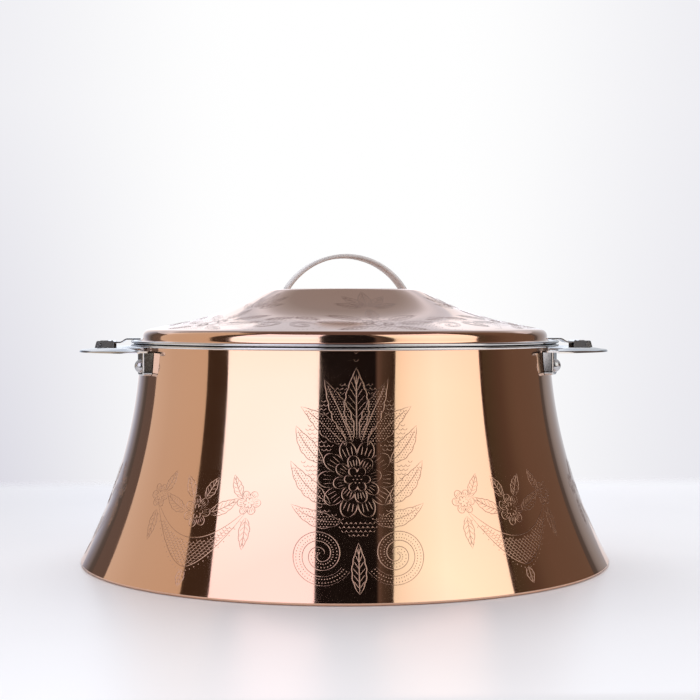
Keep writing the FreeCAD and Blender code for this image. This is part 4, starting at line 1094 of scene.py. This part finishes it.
def studs(wall, spots, radius, rise, azimuths):
    """Punched studs: six-sided low cones with flat tops that are closed below the wall."""
    spots = np.asarray(spots) * MM
    turn = np.arange(STUD_CORNERS) * FULL_TURN / STUD_CORNERS
    across = spots[:, 0, None, None] + STUD_SIZES * radius * np.cos(turn)
    along = spots[:, 1, None, None] + STUD_SIZES * radius * np.sin(turn)
    places = on_wall(wall, across, along, STUD_LIFTS * rise, azimuths)
    index = np.arange(2 * STUD_CORNERS).reshape(2, STUD_CORNERS)
    return repeated(places, np.vstack([grid_quads(index, wrap_columns=True), STUD_CAPS]), index.size)


def leaf_spine(leaf, share):
    """Place and side direction on a leaf's midrib, whose heading turns evenly from its lean by its curl."""
    lean, curl = math.radians(leaf.lean), math.radians(leaf.curl) or LEAST_CURL
    heading = lean + curl * share
    spot = together(leaf.across + leaf.size * (np.cos(lean) - np.cos(heading)) / curl,
                    leaf.along + leaf.size * (np.sin(heading) - np.sin(lean)) / curl)
    return spot, together(np.cos(heading), -np.sin(heading))


def leaf_half(leaf, share):
    """Half a leaf's width: a sine that leans to the root, with shallow scallops."""
    swell = np.sin(math.pi * np.clip(share, 0, 1) ** LEAF_LEAN)
    return leaf.width / 2 * swell * (1 - SCALLOP + SCALLOP * np.abs(np.sin(leaf.veins * math.pi * share)))


def leaf_gap(leaf, spots, steps):
    """Distance of spots from a leaf's edge, which is less than nought inside it."""
    share = np.linspace(0, 1, steps)
    gaps = np.linalg.norm(spots[:, None] - leaf_spine(leaf, share)[0], axis=2) - leaf_half(leaf, share)
    return gaps.min(axis=1)


def leaf_strokes(leaf):
    """Two edges and a midrib as bold strokes, and slanting veins as fine ones."""
    share = np.linspace(0, 1, LEAF_STEPS)
    spot, side = leaf_spine(leaf, share)
    half = leaf_half(leaf, share)[:, None]
    bold = [spot - side * half, spot + side * half, leaf_spine(leaf, np.linspace(*MIDRIB, MIDRIB_STEPS))[0]]
    fine = []
    part = np.linspace(VEIN_START, 1, VEIN_STEPS)[:, None]
    for root in np.linspace(*VEIN_ROOTS, leaf.veins + 1):
        start, _ = leaf_spine(leaf, root)
        end, way = leaf_spine(leaf, root + VEIN_RISE)
        reach = way * leaf_half(leaf, root + VEIN_RISE) * VEIN_REACH
        fine += [start + (end + hand * reach - start) * part for hand in (1, -1)]
    return bold, fine


def rosette_strokes(center, inner, outer, petals, turn=0.0):
    """A lobed ring: the radius swings between two limits with a root of a cosine; each lobe has three
    veins."""
    swing = np.linspace(0, FULL_TURN, petals * PETAL_STEPS + 1) + math.pi / petals + turn
    radius = inner + (outer - inner) * np.abs(np.cos(petals * (swing - turn) / 2)) ** PETAL_POWER
    bold = [np.array(center) + radius[:, None] * spokes(swing)]
    fine = []
    middles = turn + np.arange(petals) * FULL_TURN / petals
    reach = np.linspace(*(inner + end * (outer - inner) for end in PETAL_VEIN_ENDS), VEIN_STEPS)[:, None]
    for offset in PETAL_VEINS:
        fine += [np.array(center) + reach * spokes(ray) for ray in middles + offset * FULL_TURN / petals]
    return bold, fine


def volute_strokes(center, size, start, turns, hand, gap):
    """A double spiral whose radius falls evenly, with studs between its two lines."""
    center = np.array(center)
    share = np.linspace(0, 1, VOLUTE_STEPS)
    swing = math.radians(start) + hand * turns * FULL_TURN * share
    way = spokes(swing)
    outer = size * (1 - VOLUTE_FALL * share)[:, None]
    inner = np.maximum(outer - gap, VOLUTE_LEAST)
    keep = share < VOLUTE_INNER_END
    run = run_along(center + way * (outer - gap / 2))
    places = np.arange(VOLUTE_FIRST, run[np.count_nonzero(keep)], VOLUTE_PITCH)
    turn = np.interp(places, run, swing)
    reach = np.interp(places, run, outer[:, 0] - gap / 2)
    rows = (-VOLUTE_OFFSET * gap, VOLUTE_OFFSET * gap)
    dots = np.vstack([center + spokes(turn) * (reach + row)[:, None] for row in rows])
    return [center + way * outer, (center + way * inner)[keep]], dots


def mirrored(strokes):
    """Strokes or spots with their mirror images across the motif's middle."""
    return list(strokes) + [stroke * (-1, 1) for stroke in strokes]


def leaf_mirror(leaves):
    """Leaves with their mirror images across the motif's middle."""
    return list(leaves) + [leaf._replace(across=-leaf.across, lean=-leaf.lean, curl=-leaf.curl)
                           for leaf in leaves]


def close_set(first, last, half, pitch, rise=ROW_RISE):
    """Spots of a close-set grid, of which each second row is shifted by half a pitch."""
    row, column = np.mgrid[first:last, -half:half + 1]
    return together((column + 0.5 * (row % 2)) * pitch, row * pitch * rise).reshape(-1, 2)


def leaf_spots(leaf, pitch):
    """Spots of a close-set grid inside a leaf."""
    spots = close_set(-HALF_GRID, HALF_GRID + 1, HALF_GRID, pitch) + (leaf.across, leaf.along)
    return spots[leaf_gap(leaf, spots, INSIDE_STEPS) < -LEAF_MARGIN]


def ground_spots(leaves, discs, pitch, inside):
    """Spots of a close-set grid within a region, clear of the leaves and discs of a motif."""
    spots = close_set(0, 2 * HALF_GRID, HALF_GRID, pitch)
    spots = spots[inside(*spots.T)]
    for leaf in leaves:
        spots = spots[leaf_gap(leaf, spots, LEAF_STEPS) > GROUND_MARGIN]
    for across, along, size in discs:
        spots = spots[np.hypot(spots[:, 0] - across, spots[:, 1] - along) > size]
    return spots


def scale_strokes(spots, radius):
    """Hanging arcs of a scale pattern, one at each spot."""
    arc = radius * spokes(np.linspace(*SCALE_ARC, SCALE_STEPS) * math.pi)
    return [spot + arc for spot in spots]


def add_strokes(bold, fine, strokes, veined=True):
    """Adds a form's bold strokes to a motif, and its fine ones where the form is veined."""
    bold += strokes[0]
    fine += strokes[1] if veined else []


def lay_motif(sizes, name, body, wall, bold, fine, dots, azimuths, relief=1.0):
    """A motif's bold lines, fine lines and studs, repeated round the pot, as two pieces."""
    lines = merged([ridges(wall, bold, sizes.line_width, sizes.line_rise * relief, azimuths),
                    ridges(wall, fine, sizes.fine_width, sizes.fine_rise * relief, azimuths)])
    beads = studs(wall, dots, sizes.stud_radius, sizes.stud_rise * relief, azimuths)
    for part, shape in (("lines", lines), ("studs", beads)):
        make_piece(f"{name}_{part}", shape, body, "engraved_copper", sharp=75.0, weld=False)


def shell_wall_line(scene):
    """The flare's outer line from the hem to the rim."""
    at = pot_levels(scene)
    heights = np.linspace(at.pot.hem_bend, at.shell_top, SHELL_LINE_STEPS)
    return wall_line(together(shell_radius(at, heights), heights))


def ring_of_turns(count, first=0):
    """Azimuths evenly spaced round the pot, from a first one in degrees."""
    return math.radians(first) + np.arange(count) * FULL_TURN / count


class POT_OT_palmettes(Operator):
    """Palmettes of the shell: volutes, a rosette, side leaves and a fan of leaves over a scaled ground"""

    bl_idname = "serving_pot.palmettes"
    bl_label = "Palmettes"

    # Lengths of the ornament are in millimetres, across and along the wall, and leans and curls in degrees.
    MIDDLE = (Leaf(0, 109, 47, 17, 0, 0, 7), Leaf(0, 6, 34, 10, 0, 0, 5))
    SIDE = (
        Leaf(3, 107, 45, 13, 20, 8, 6),
        Leaf(7, 104, 40, 12.5, 42, 14, 6),
        Leaf(22, 93, 31, 11, 54, -34, 5),
        Leaf(18, 66, 39, 12, 62, -38, 6),
        Leaf(11, 54, 36, 11, 94, -46, 5),
    )
    HEART = (0, 82)
    # Rings of the rosette: inner and outer radius, petals, turn, and whether they are veined.
    RINGS = ((15, 26, 10, 0.0, True), (8, 16, 8, 0.2, True), (4, 8.5, 6, 0.0, False))
    VOLUTE = {"center": (25, 32), "size": 22, "start": -150, "turns": 1.9, "hand": 1, "gap": 6.0}
    HEART_STUDS, HEART_RADIUS, HEART_CLEAR = 6, 2.6, 27
    SCALE_PITCH, SCALE_RADIUS, STUD_PITCH = 3.1, 1.55, 1.9
    # Ground: its foot, height, half width and the power of its edge.
    GROUND_FOOT, GROUND_HEIGHT, GROUND_HALF, GROUND_POWER = 44, 106, 36, 0.6

    def execute(self, context):
        sides = leaf_mirror(self.SIDE)
        leaves = list(self.MIDDLE) + sides
        bold, fine = [], []
        for leaf in leaves:
            add_strokes(bold, fine, leaf_strokes(leaf), leaf in self.MIDDLE)
        for inner, outer, petals, turn, veined in self.RINGS:
            add_strokes(bold, fine, rosette_strokes(self.HEART, inner, outer, petals, turn), veined)
        spirals, dots = volute_strokes(**self.VOLUTE)
        bold += mirrored(spirals)
        ring = np.array(self.HEART) + self.HEART_RADIUS * spokes(ring_of_turns(self.HEART_STUDS))
        discs = ((*self.HEART, self.HEART_CLEAR),)
        scales = ground_spots(leaves, discs, self.SCALE_PITCH, self.ground)
        fine += scale_strokes(scales, self.SCALE_RADIUS)
        dots = mirrored([dots]) + [[self.HEART], ring] + [leaf_spots(leaf, self.STUD_PITCH) for leaf in sides]
        sizes = context.scene.pot_ornament
        lay_motif(sizes, "palmette", "pot", shell_wall_line(context.scene), bold, fine, np.vstack(dots),
                  ring_of_turns(sizes.repeats))
        return {"FINISHED"}

    def ground(self, across, along):
        """Scaled ground of a palmette: a lens that is widest at the rosette."""
        share = np.clip((along - self.GROUND_FOOT) / self.GROUND_HEIGHT, 0, 1)
        return np.abs(across) < self.GROUND_HALF * np.sin(math.pi * share) ** self.GROUND_POWER


class POT_OT_swags(Operator):
    """Swags of the shell: a scaled crescent between two rosettes, with a blossom and hanging leaves"""

    bl_idname = "serving_pot.swags"
    bl_label = "Swags"

    LEAVES = (Leaf(0, 17, 12, 7, 180, 0, 3), *leaf_mirror((
        Leaf(10, 57, 24, 9, 78, -30, 5),
        Leaf(5, 66, 17, 8, 28, 0, 4),
        Leaf(39, 55, 22, 8, 174, 0, 4),
        Leaf(34, 68, 18, 7, -40, 20, 4),
    )))
    # Crescent: half width, low point, rise and power of its two edges, and count of their points.
    REACH, UPPER, LOWER, EDGE_STEPS = 40, (39, 23, 2.0), (19, 43, 1.7), 61
    # Scales: rows, half the columns, pitch, rise of a row in pitches, lowest row, radius, and clearances from
    # the lower edge, the upper edge and the tips.
    SCALE_ROWS, SCALE_COLUMNS, SCALE_PITCH, SCALE_RISE, SCALE_FOOT, SCALE_RADIUS = 30, 12, 3.4, 0.5, 18, 1.7
    ABOVE_LOWER, BELOW_UPPER, SHORT_OF_TIPS = 2, 1, 3
    # Rosettes: place, size and petals; share of the size at their inner ring and at the ring inside it.
    ROSETTES = (((0, 57), 11, 7), ((39, 65), 8.5, 6), ((-39, 65), 8.5, 6))
    INNER_RING, HEART_RING = 0.45, 0.2
    # Studs under the crescent: half the width of their row, their count and their distance from the edge.
    STUD_REACH, STUD_COUNT, STUD_DROP = 36, 25, 3

    def edge(self, across, shape):
        """A hanging curve: its low point plus a rise by a power of the share of the reach."""
        low, rise, power = shape
        return low + rise * (np.abs(across) / self.REACH) ** power

    def execute(self, context):
        bold, fine = [], []
        for leaf in self.LEAVES:
            add_strokes(bold, fine, leaf_strokes(leaf))
        across = np.linspace(-self.REACH, self.REACH, self.EDGE_STEPS)
        bold += [together(across, self.edge(across, shape)) for shape in (self.UPPER, self.LOWER)]
        spots = close_set(0, self.SCALE_ROWS, self.SCALE_COLUMNS, self.SCALE_PITCH, self.SCALE_RISE)
        spots = spots + (0, self.SCALE_FOOT)
        fits = spots[:, 1] > self.edge(spots[:, 0], self.LOWER) + self.ABOVE_LOWER
        fits &= spots[:, 1] < self.edge(spots[:, 0], self.UPPER) - self.BELOW_UPPER
        fits &= np.abs(spots[:, 0]) < self.REACH - self.SHORT_OF_TIPS
        fine += scale_strokes(spots[fits], self.SCALE_RADIUS)
        for spot, size, petals in self.ROSETTES:
            inner, heart = self.INNER_RING * size, self.HEART_RING * size
            add_strokes(bold, fine, rosette_strokes(spot, inner, size, petals))
            add_strokes(bold, fine, rosette_strokes(spot, heart, inner, petals), veined=False)
        row = np.linspace(-self.STUD_REACH, self.STUD_REACH, self.STUD_COUNT)
        row = together(row, self.edge(row, self.LOWER) - self.STUD_DROP)
        dots = np.vstack([row, [spot for spot, _, _ in self.ROSETTES]])
        sizes = context.scene.pot_ornament
        turns = ring_of_turns(sizes.repeats)
        lay_motif(sizes, "swag", "pot", shell_wall_line(context.scene), bold, fine, dots,
                  np.concatenate([turns - sizes.swag_turn, turns + sizes.swag_turn]))
        return {"FINISHED"}


class POT_OT_lid_wreath(Operator):
    """Wreath of the lid: rosettes with leaf scrolls on the gentle slope and sprays on the steep one"""

    bl_idname = "serving_pot.lid_wreath"
    bl_label = "Lid Wreath"

    LEAVES = (Leaf(0, 51, 24, 10, 0, 0, 5), Leaf(0, 78, 27, 10, 0, 0, 5), *leaf_mirror((
        Leaf(13, 38, 32, 11, 88, -16, 6),
        Leaf(9, 48, 28, 10, 56, 12, 5),
        Leaf(9, 28, 26, 9, 122, -14, 5),
        Leaf(2, 78, 24, 9, 30, 10, 4),
        Leaf(5, 77, 20, 8, 62, 10, 4),
        Leaf(38, 50, 20, 8, 66, 20, 4),
    )))
    HEART = (0, 38)
    # Rings of the rosette: inner and outer radius, petals and turn.
    RINGS = ((7, 13, 8, 0.0), (3, 7.5, 6, 0.3))
    VOLUTE = {"center": (54, 33), "size": 12, "start": 170, "turns": 1.5, "hand": -1, "gap": 3.4}
    DISCS = ((0, 38, 14), (54, 33, 13), (-54, 33, 13))
    GROUND_PITCH, STUD_PITCH = 3.0, 2.8
    # Ground: half width, foot and head, and the height and half length of the waves of its edges.
    GROUND_HALF, GROUND_FOOT, GROUND_HEAD, WAVE, HALF_WAVE = 60, 22, 54, 6, 30
    FIRST_TURN = 8

    def execute(self, context):
        bold, fine = [], []
        for leaf in self.LEAVES:
            add_strokes(bold, fine, leaf_strokes(leaf))
        for ring in self.RINGS:
            add_strokes(bold, fine, rosette_strokes(self.HEART, *ring))
        spirals, dots = volute_strokes(**self.VOLUTE)
        bold += mirrored(spirals)
        ground = ground_spots(self.LEAVES, self.DISCS, self.GROUND_PITCH, self.ground)
        inside = [leaf_spots(leaf, self.STUD_PITCH) for leaf in self.LEAVES]
        dots = np.vstack(mirrored([dots]) + [[self.HEART], ground] + inside)
        wall = wall_line(densed(lid_line(pot_levels(context.scene)), LONGEST_WREATH_RUN))
        sizes = context.scene.pot_ornament
        lay_motif(sizes, "wreath", "lid", wall, bold, fine, dots,
                  ring_of_turns(sizes.lid_repeats, self.FIRST_TURN), sizes.lid_relief)
        return {"FINISHED"}

    def ground(self, across, along):
        """Studded ground of the wreath: a band whose edges wave with the repeats."""
        wave = self.WAVE * np.cos(across * math.pi / self.HALF_WAVE)
        return ((np.abs(across) < self.GROUND_HALF) & (along > self.GROUND_FOOT - wave)
                & (along < self.GROUND_HEAD + wave))


class POT_OT_studio(Operator):
    """Stage: pale floor, pale background, curved boards for the metal to mirror, and the camera"""

    bl_idname = "serving_pot.studio"
    bl_label = "Studio"

    # Values that several boards share: no shift, low and tall reach, even gain, and three lights.
    PLUMB, LOW, TALL, EVEN = (0, 0), (-14, 24), (-14, 60), ((1, 1, 1),)
    BACK_LIGHT, CAMERA_DARK, CORNER_DARK = (1.28, 1.37, 1.54), (0.008, 0.006, 0.006), (0.035, 0.016, 0.012)
    # Boards round the pot: name, azimuths from the front in degrees (right is plus), shifts of the first and
    # the last azimuth at SHIFT_LEVEL degrees up, lowest and highest elevation, light at each azimuth, and
    # gains from foot to head.
    BOARDS = (
        ("left_wing", (-172, -160, -151, -145, -140, -137, -133), PLUMB, LOW,
         (BACK_LIGHT, (0.88, 0.90, 0.95), (0.48, 0.56, 0.71), (0.27, 0.30, 0.385), (0.19, 0.19, 0.21),
          (0.095, 0.09, 0.09), (0.095, 0.08, 0.075)), EVEN),
        ("left_far_room", (-133, -121.5), PLUMB, LOW, ((0.125, 0.10, 0.093),), EVEN),
        ("left_room", (-121.5, -104, -76.8), PLUMB, TALL,
         ((0.66, 0.57, 0.49), (0.61, 0.51, 0.42), (0.62, 0.50, 0.39)), EVEN),
        ("left_flag", (-76.8, -63.3), PLUMB, TALL, ((0.048, 0.030, 0.020),), EVEN),
        ("left_softbox", (-63.3, -12.7), (0, -2.4), TALL, ((1.42, 1.37, 1.50),),
         ((1, 0.93, 0.81), (1, 0.93, 0.83), (1, 1.06, 1.08), (1, 1.095, 1.17), (1, 0.935, 1.01),
          (1, 0.95, 1.05), (1, 0.99, 1.10))),
        ("camera_flag", (-12.7, 15.5), (-2.4, -1), TALL, (CAMERA_DARK,), EVEN),
        ("camera_flag_edge", (15.5, 17.2, 20, 26.8), (-1, -6.1), TALL,
         (CAMERA_DARK, (0.115, 0.08, 0.066), (0.07, 0.05, 0.038), (0.035, 0.024, 0.017)), EVEN),
        ("right_softbox", (26.8, 35, 47, 73.6), (-6.1, 10.2), TALL,
         ((1.05, 1.03, 0.87), (1.25, 1.20, 1.08), (1.40, 1.33, 1.25), (1.38, 1.22, 1.10)),
         ((1, 0.85, 0.85), (1, 0.85, 0.85), (1, 1.02, 1.03), (1, 1.04, 1.09), (1, 1.10, 1.12),
          (1, 0.95, 1.05), (1, 0.92, 1.04))),
        ("right_room", (73.6, 75, 76.2, 88, 95, 102, 129), (10.2, 0), TALL,
         (CORNER_DARK, CORNER_DARK, (0.066, 0.050, 0.031), (0.098, 0.063, 0.046), (0.128, 0.088, 0.064),
          (0.142, 0.096, 0.072), (0.150, 0.105, 0.080)), EVEN),
        ("right_wing", (129, 133, 134, 138, 143, 148, 156, 165, 172), PLUMB, LOW,
         ((0.09, 0.075, 0.07), (0.09, 0.085, 0.085), (0.18, 0.18, 0.19), (0.27, 0.28, 0.30),
          (0.31, 0.33, 0.36), (0.36, 0.39, 0.44), (0.50, 0.55, 0.61), (0.70, 0.72, 0.76), BACK_LIGHT), EVEN),
        ("back_low", (172, 188), PLUMB, (0, 24), (BACK_LIGHT,), EVEN),
        ("back_fall", (128, 232), PLUMB, (24, 44), ((0.90, 1.01, 1.22),),
         ((0.74, 0.73, 0.72), (0.70, 0.69, 0.68), (0.86, 0.85, 0.84), (0.50, 0.48, 0.46), (0.40, 0.37, 0.34),
          (0.33, 0.30, 0.27))),
        ("back_top", (128, 232), PLUMB, (44, 60), ((0.30, 0.30, 0.33),), EVEN),
        ("ceiling", (-180, 180), PLUMB, (60, 90), ((0.13, 0.09, 0.085),), EVEN),
    )
    BOARD_COLUMNS, BOARD_ROWS, SHIFT_LEVEL = 65, 25, 60
    CARD_LIGHT = (0.05, 0.045, 0.045)
    SENSOR = 36.0
    # Spans of the background's shades over the view's direction: to the sides, down and to the left, and the
    # share of the low shade that is left on the right.
    GROUND_SIDES, GROUND_DOWN, GROUND_LEFT, GROUND_RIGHT = (0.06, 0.27), (0.14, -0.12), (0.24, -0.22), 0.3
    # Spans in metres of the floor's painted shade, which darkens it where light falls off: to the back and to
    # the left, and the share of it left on the right. Then the scale and the size of a random drift of its
    # tone, and half the run in which the floor melts away.
    FLOOR_BACK, FLOOR_LEFT, FLOOR_RIGHT = (-0.5, 0.35), (0.35, -0.35), 0.5
    FLOOR_CLOUD, FLOOR_DRIFT, FLOOR_MELT = 3.0, (-0.05, 0.05), 0.05

    def execute(self, context):
        scene, studio = context.scene, context.scene.pot_studio
        self.add_camera(scene, studio)
        self.add_ground(scene, studio)
        self.add_floor(scene, studio)
        self.add_lamp(scene, studio)
        glow = self.board_finish()
        self.add_card(studio, glow)
        for board in self.BOARDS:
            self.add_board(studio, glow, *board)
        scene.view_settings.view_transform = "Standard"
        return {"FINISHED"}

    def add_camera(self, scene, studio):
        """A camera that stands in front and looks at a point close to the axis."""
        camera = bpy.data.objects.new("photo_camera", bpy.data.cameras.new("photo_camera"))
        camera.data.lens = studio.lens
        camera.data.sensor_width = self.SENSOR
        away, side = studio.distance, studio.aim_side
        camera.location = (-away * math.sin(studio.swing), -away * math.cos(studio.swing), studio.height)
        tilt = math.atan2(studio.aim_height - studio.height, math.hypot(side, away))
        camera.rotation_euler = (math.pi / 2 + tilt, 0, -studio.swing - math.atan2(side, away))
        scene.collection.objects.link(camera)
        scene.camera = camera

    def add_ground(self, scene, studio):
        """Pale background: white straight behind the pot, cool grey at the sides and darker low down."""
        world = bpy.data.worlds.new("pale_ground")
        world.use_nodes = True
        tree = world.node_tree
        way = add_node(tree, "ShaderNodeTexCoord").outputs["Generated"]
        ahead = add_node(tree, "ShaderNodeMapping", Vector=way, Rotation=(0.0, 0.0, studio.swing)).outputs[0]
        parts = add_node(tree, "ShaderNodeSeparateXYZ", ahead).outputs
        sides = ranged(tree, worked(tree, "ABSOLUTE", parts["X"]), self.GROUND_SIDES, ease="SMOOTHSTEP")
        low = ranged(tree, parts["Z"], self.GROUND_DOWN)
        left = ranged(tree, parts["X"], self.GROUND_LEFT, (self.GROUND_RIGHT, 1.0))
        edge = mixed(tree, worked(tree, "MULTIPLY", low, left), studio.ground_edge, studio.ground_low)
        plug(tree, mixed(tree, sides, studio.ground, edge), tree.nodes["Background"].inputs["Color"])
        scene.world = world

    def add_floor(self, scene, studio):
        """Flat floor that melts into the background behind the pot. Its colour carries painted shade: darker
        to the back and to the left, where light falls off, with a slow random drift of tone.
        """
        reach, end = studio.floor_reach, studio.floor_end
        mesh = bpy.data.meshes.new("pale_floor")
        corners = [(-reach, -reach, 0), (reach, -reach, 0), (reach, reach, 0), (-reach, reach, 0)]
        mesh.from_pydata(corners, [], [(0, 1, 2, 3)])
        finish, tree, shader, place = blank_finish("pale_floor", Roughness=0.36, Specular_IOR_Level=0.5)
        parts = add_node(tree, "ShaderNodeSeparateXYZ", place).outputs
        # Painted shade: a mask that grows towards the back, full on the left and half as strong on the right,
        # plus a random drift of tone.
        far = ranged(tree, parts["Y"], self.FLOOR_BACK)
        left = ranged(tree, parts["X"], self.FLOOR_LEFT, (self.FLOOR_RIGHT, 1.0))
        drift = spread(tree, noise(tree, place, self.FLOOR_CLOUD), self.FLOOR_DRIFT)
        lay_tint(tree, shader, worked(tree, "MULTIPLY_ADD", far, left, drift), studio.floor, studio.floor_painted_shade)
        melt = ranged(tree, parts["Y"], (end - self.FLOOR_MELT, end + self.FLOOR_MELT), ease="SMOOTHSTEP")
        clear = add_node(tree, "ShaderNodeBsdfTransparent").outputs[0]
        both = add_node(tree, "ShaderNodeMixShader", melt, shader.outputs[0], clear).outputs[0]
        plug(tree, both, tree.nodes["Material Output"].inputs["Surface"])
        mesh.materials.append(finish)
        floor = bpy.data.objects.new("pale_floor", mesh)
        scene.collection.objects.link(floor)

    @staticmethod
    def add_lamp(scene, studio):
        """A large soft lamp overhead, behind the pot, that lights the floor."""
        lamp = bpy.data.lights.new("overhead_lamp", "AREA")
        lamp.shape = "DISK"
        lamp.size = studio.lamp_size
        lamp.energy = studio.lamp_power
        holder = bpy.data.objects.new("overhead_lamp", lamp)
        holder.location = (0, studio.lamp_back, studio.lamp_height)
        holder.rotation_euler = (-math.atan2(studio.lamp_back, studio.lamp_height), 0, 0)
        holder.visible_glossy = False
        holder.visible_camera = False
        scene.collection.objects.link(holder)

    @staticmethod
    def board_finish():
        """Glow whose colour is the light that each board stores on its points."""
        finish = bpy.data.materials.new("board_glow")
        finish.use_nodes = True
        finish.cycles.emission_sampling = "NONE"
        tree = finish.node_tree
        light = add_node(tree, "ShaderNodeAttribute", settings={"attribute_name": "light"}).outputs["Color"]
        glow = add_node(tree, "ShaderNodeEmission", Color=light, Strength=1.0).outputs[0]
        plug(tree, glow, tree.nodes["Material Output"].inputs["Surface"])
        return finish

    def add_card(self, studio, finish):
        """A dark card that lies on the floor in front of the pot."""
        across = np.array([-1, 1]) * studio.card_side
        out = np.array([-studio.card_far, -studio.card_near])[:, None]
        places = together(across, out, studio.card_lift)
        self.add_mirrored("front_card", places, np.broadcast_to(self.CARD_LIGHT, places.shape), finish)

    def add_board(self, studio, finish, name, stops, shifts, reach, lights, gains):
        """Part of a sphere round the pot: x = r sin a cos e, y = -r cos a cos e, z = r sin e. Its light is
        blended along the azimuth between stops, and from foot to head by evenly spaced gains."""
        flat = np.linspace(stops[0], stops[-1], self.BOARD_COLUMNS)[:, None]
        level = np.linspace(*reach, self.BOARD_ROWS)
        lean = np.interp(flat, (stops[0], stops[-1]), shifts) * level / self.SHIFT_LEVEL
        turn, lift = np.radians(flat + lean - math.degrees(studio.swing)), np.radians(level)
        places = together(np.sin(turn) * np.cos(lift), -np.cos(turn) * np.cos(lift), np.sin(lift))
        lights = np.broadcast_to(lights, (len(stops), 3))
        light = together(*(np.interp(flat, stops, channel) for channel in lights.T))
        steps = np.linspace(*reach, len(gains))
        rise = together(*(np.interp(level, steps, channel) for channel in np.array(gains, float).T))
        self.add_mirrored(name, studio.board_radius * places, light * rise, finish)

    @staticmethod
    def add_mirrored(name, places, light, finish):
        """A board that only mirrors see, with its light stored on its points."""
        points, quads = gridded(places)
        mesh = bpy.data.meshes.new(name)
        mesh.from_pydata(points.tolist(), [], quads.tolist())
        store = mesh.attributes.new("light", "FLOAT_VECTOR", "POINT")
        store.data.foreach_set("vector", np.ascontiguousarray(light, dtype=np.float32).ravel())
        mesh.materials.append(finish)
        board = bpy.data.objects.new(name, mesh)
        bpy.context.scene.collection.objects.link(board)
        board.visible_camera = False
        board.visible_diffuse = False
        board.visible_shadow = False


class POT_PT_panel(Panel):
    """Buttons for the pieces and the studio, in the order in which they are made"""

    bl_label = "Serving Pot"
    bl_idname = "POT_PT_panel"
    bl_space_type = "VIEW_3D"
    bl_region_type = "UI"
    bl_category = "Serving Pot"

    def draw(self, context):
        for operator in OPERATORS:
            self.layout.operator(operator.bl_idname)


GROUPS = {
    "pot_sizes": PotSizes,
    "pot_lid": LidSizes,
    "pot_handles": HandleSizes,
    "pot_ornament": OrnamentSizes,
    "pot_finishes": Finishes,
    "pot_studio": StudioSettings,
}
OPERATORS = (
    POT_OT_shell,
    POT_OT_liner,
    POT_OT_base,
    POT_OT_lid_skin,
    POT_OT_lid_pan,
    POT_OT_strap,
    POT_OT_grips,
    POT_OT_rivets,
    POT_OT_latches,
    POT_OT_carried_over,
    POT_OT_palmettes,
    POT_OT_swags,
    POT_OT_lid_wreath,
    POT_OT_studio,
)


def register():
    """Registers the classes and hangs the property groups on the scene."""
    for cls in (*GROUPS.values(), *OPERATORS, POT_PT_panel):
        bpy.utils.register_class(cls)
    for name, group in GROUPS.items():
        setattr(bpy.types.Scene, name, PointerProperty(type=group))


def unregister():
    """Takes the property groups off the scene and unregisters the classes."""
    for name in GROUPS:
        delattr(bpy.types.Scene, name)
    for cls in reversed((*GROUPS.values(), *OPERATORS, POT_PT_panel)):
        bpy.utils.unregister_class(cls)


def main():
    register()
    for operator in OPERATORS:
        family, name = operator.bl_idname.split(".")
        getattr(getattr(bpy.ops, family), name)()


if __name__ == "__main__":
    main()
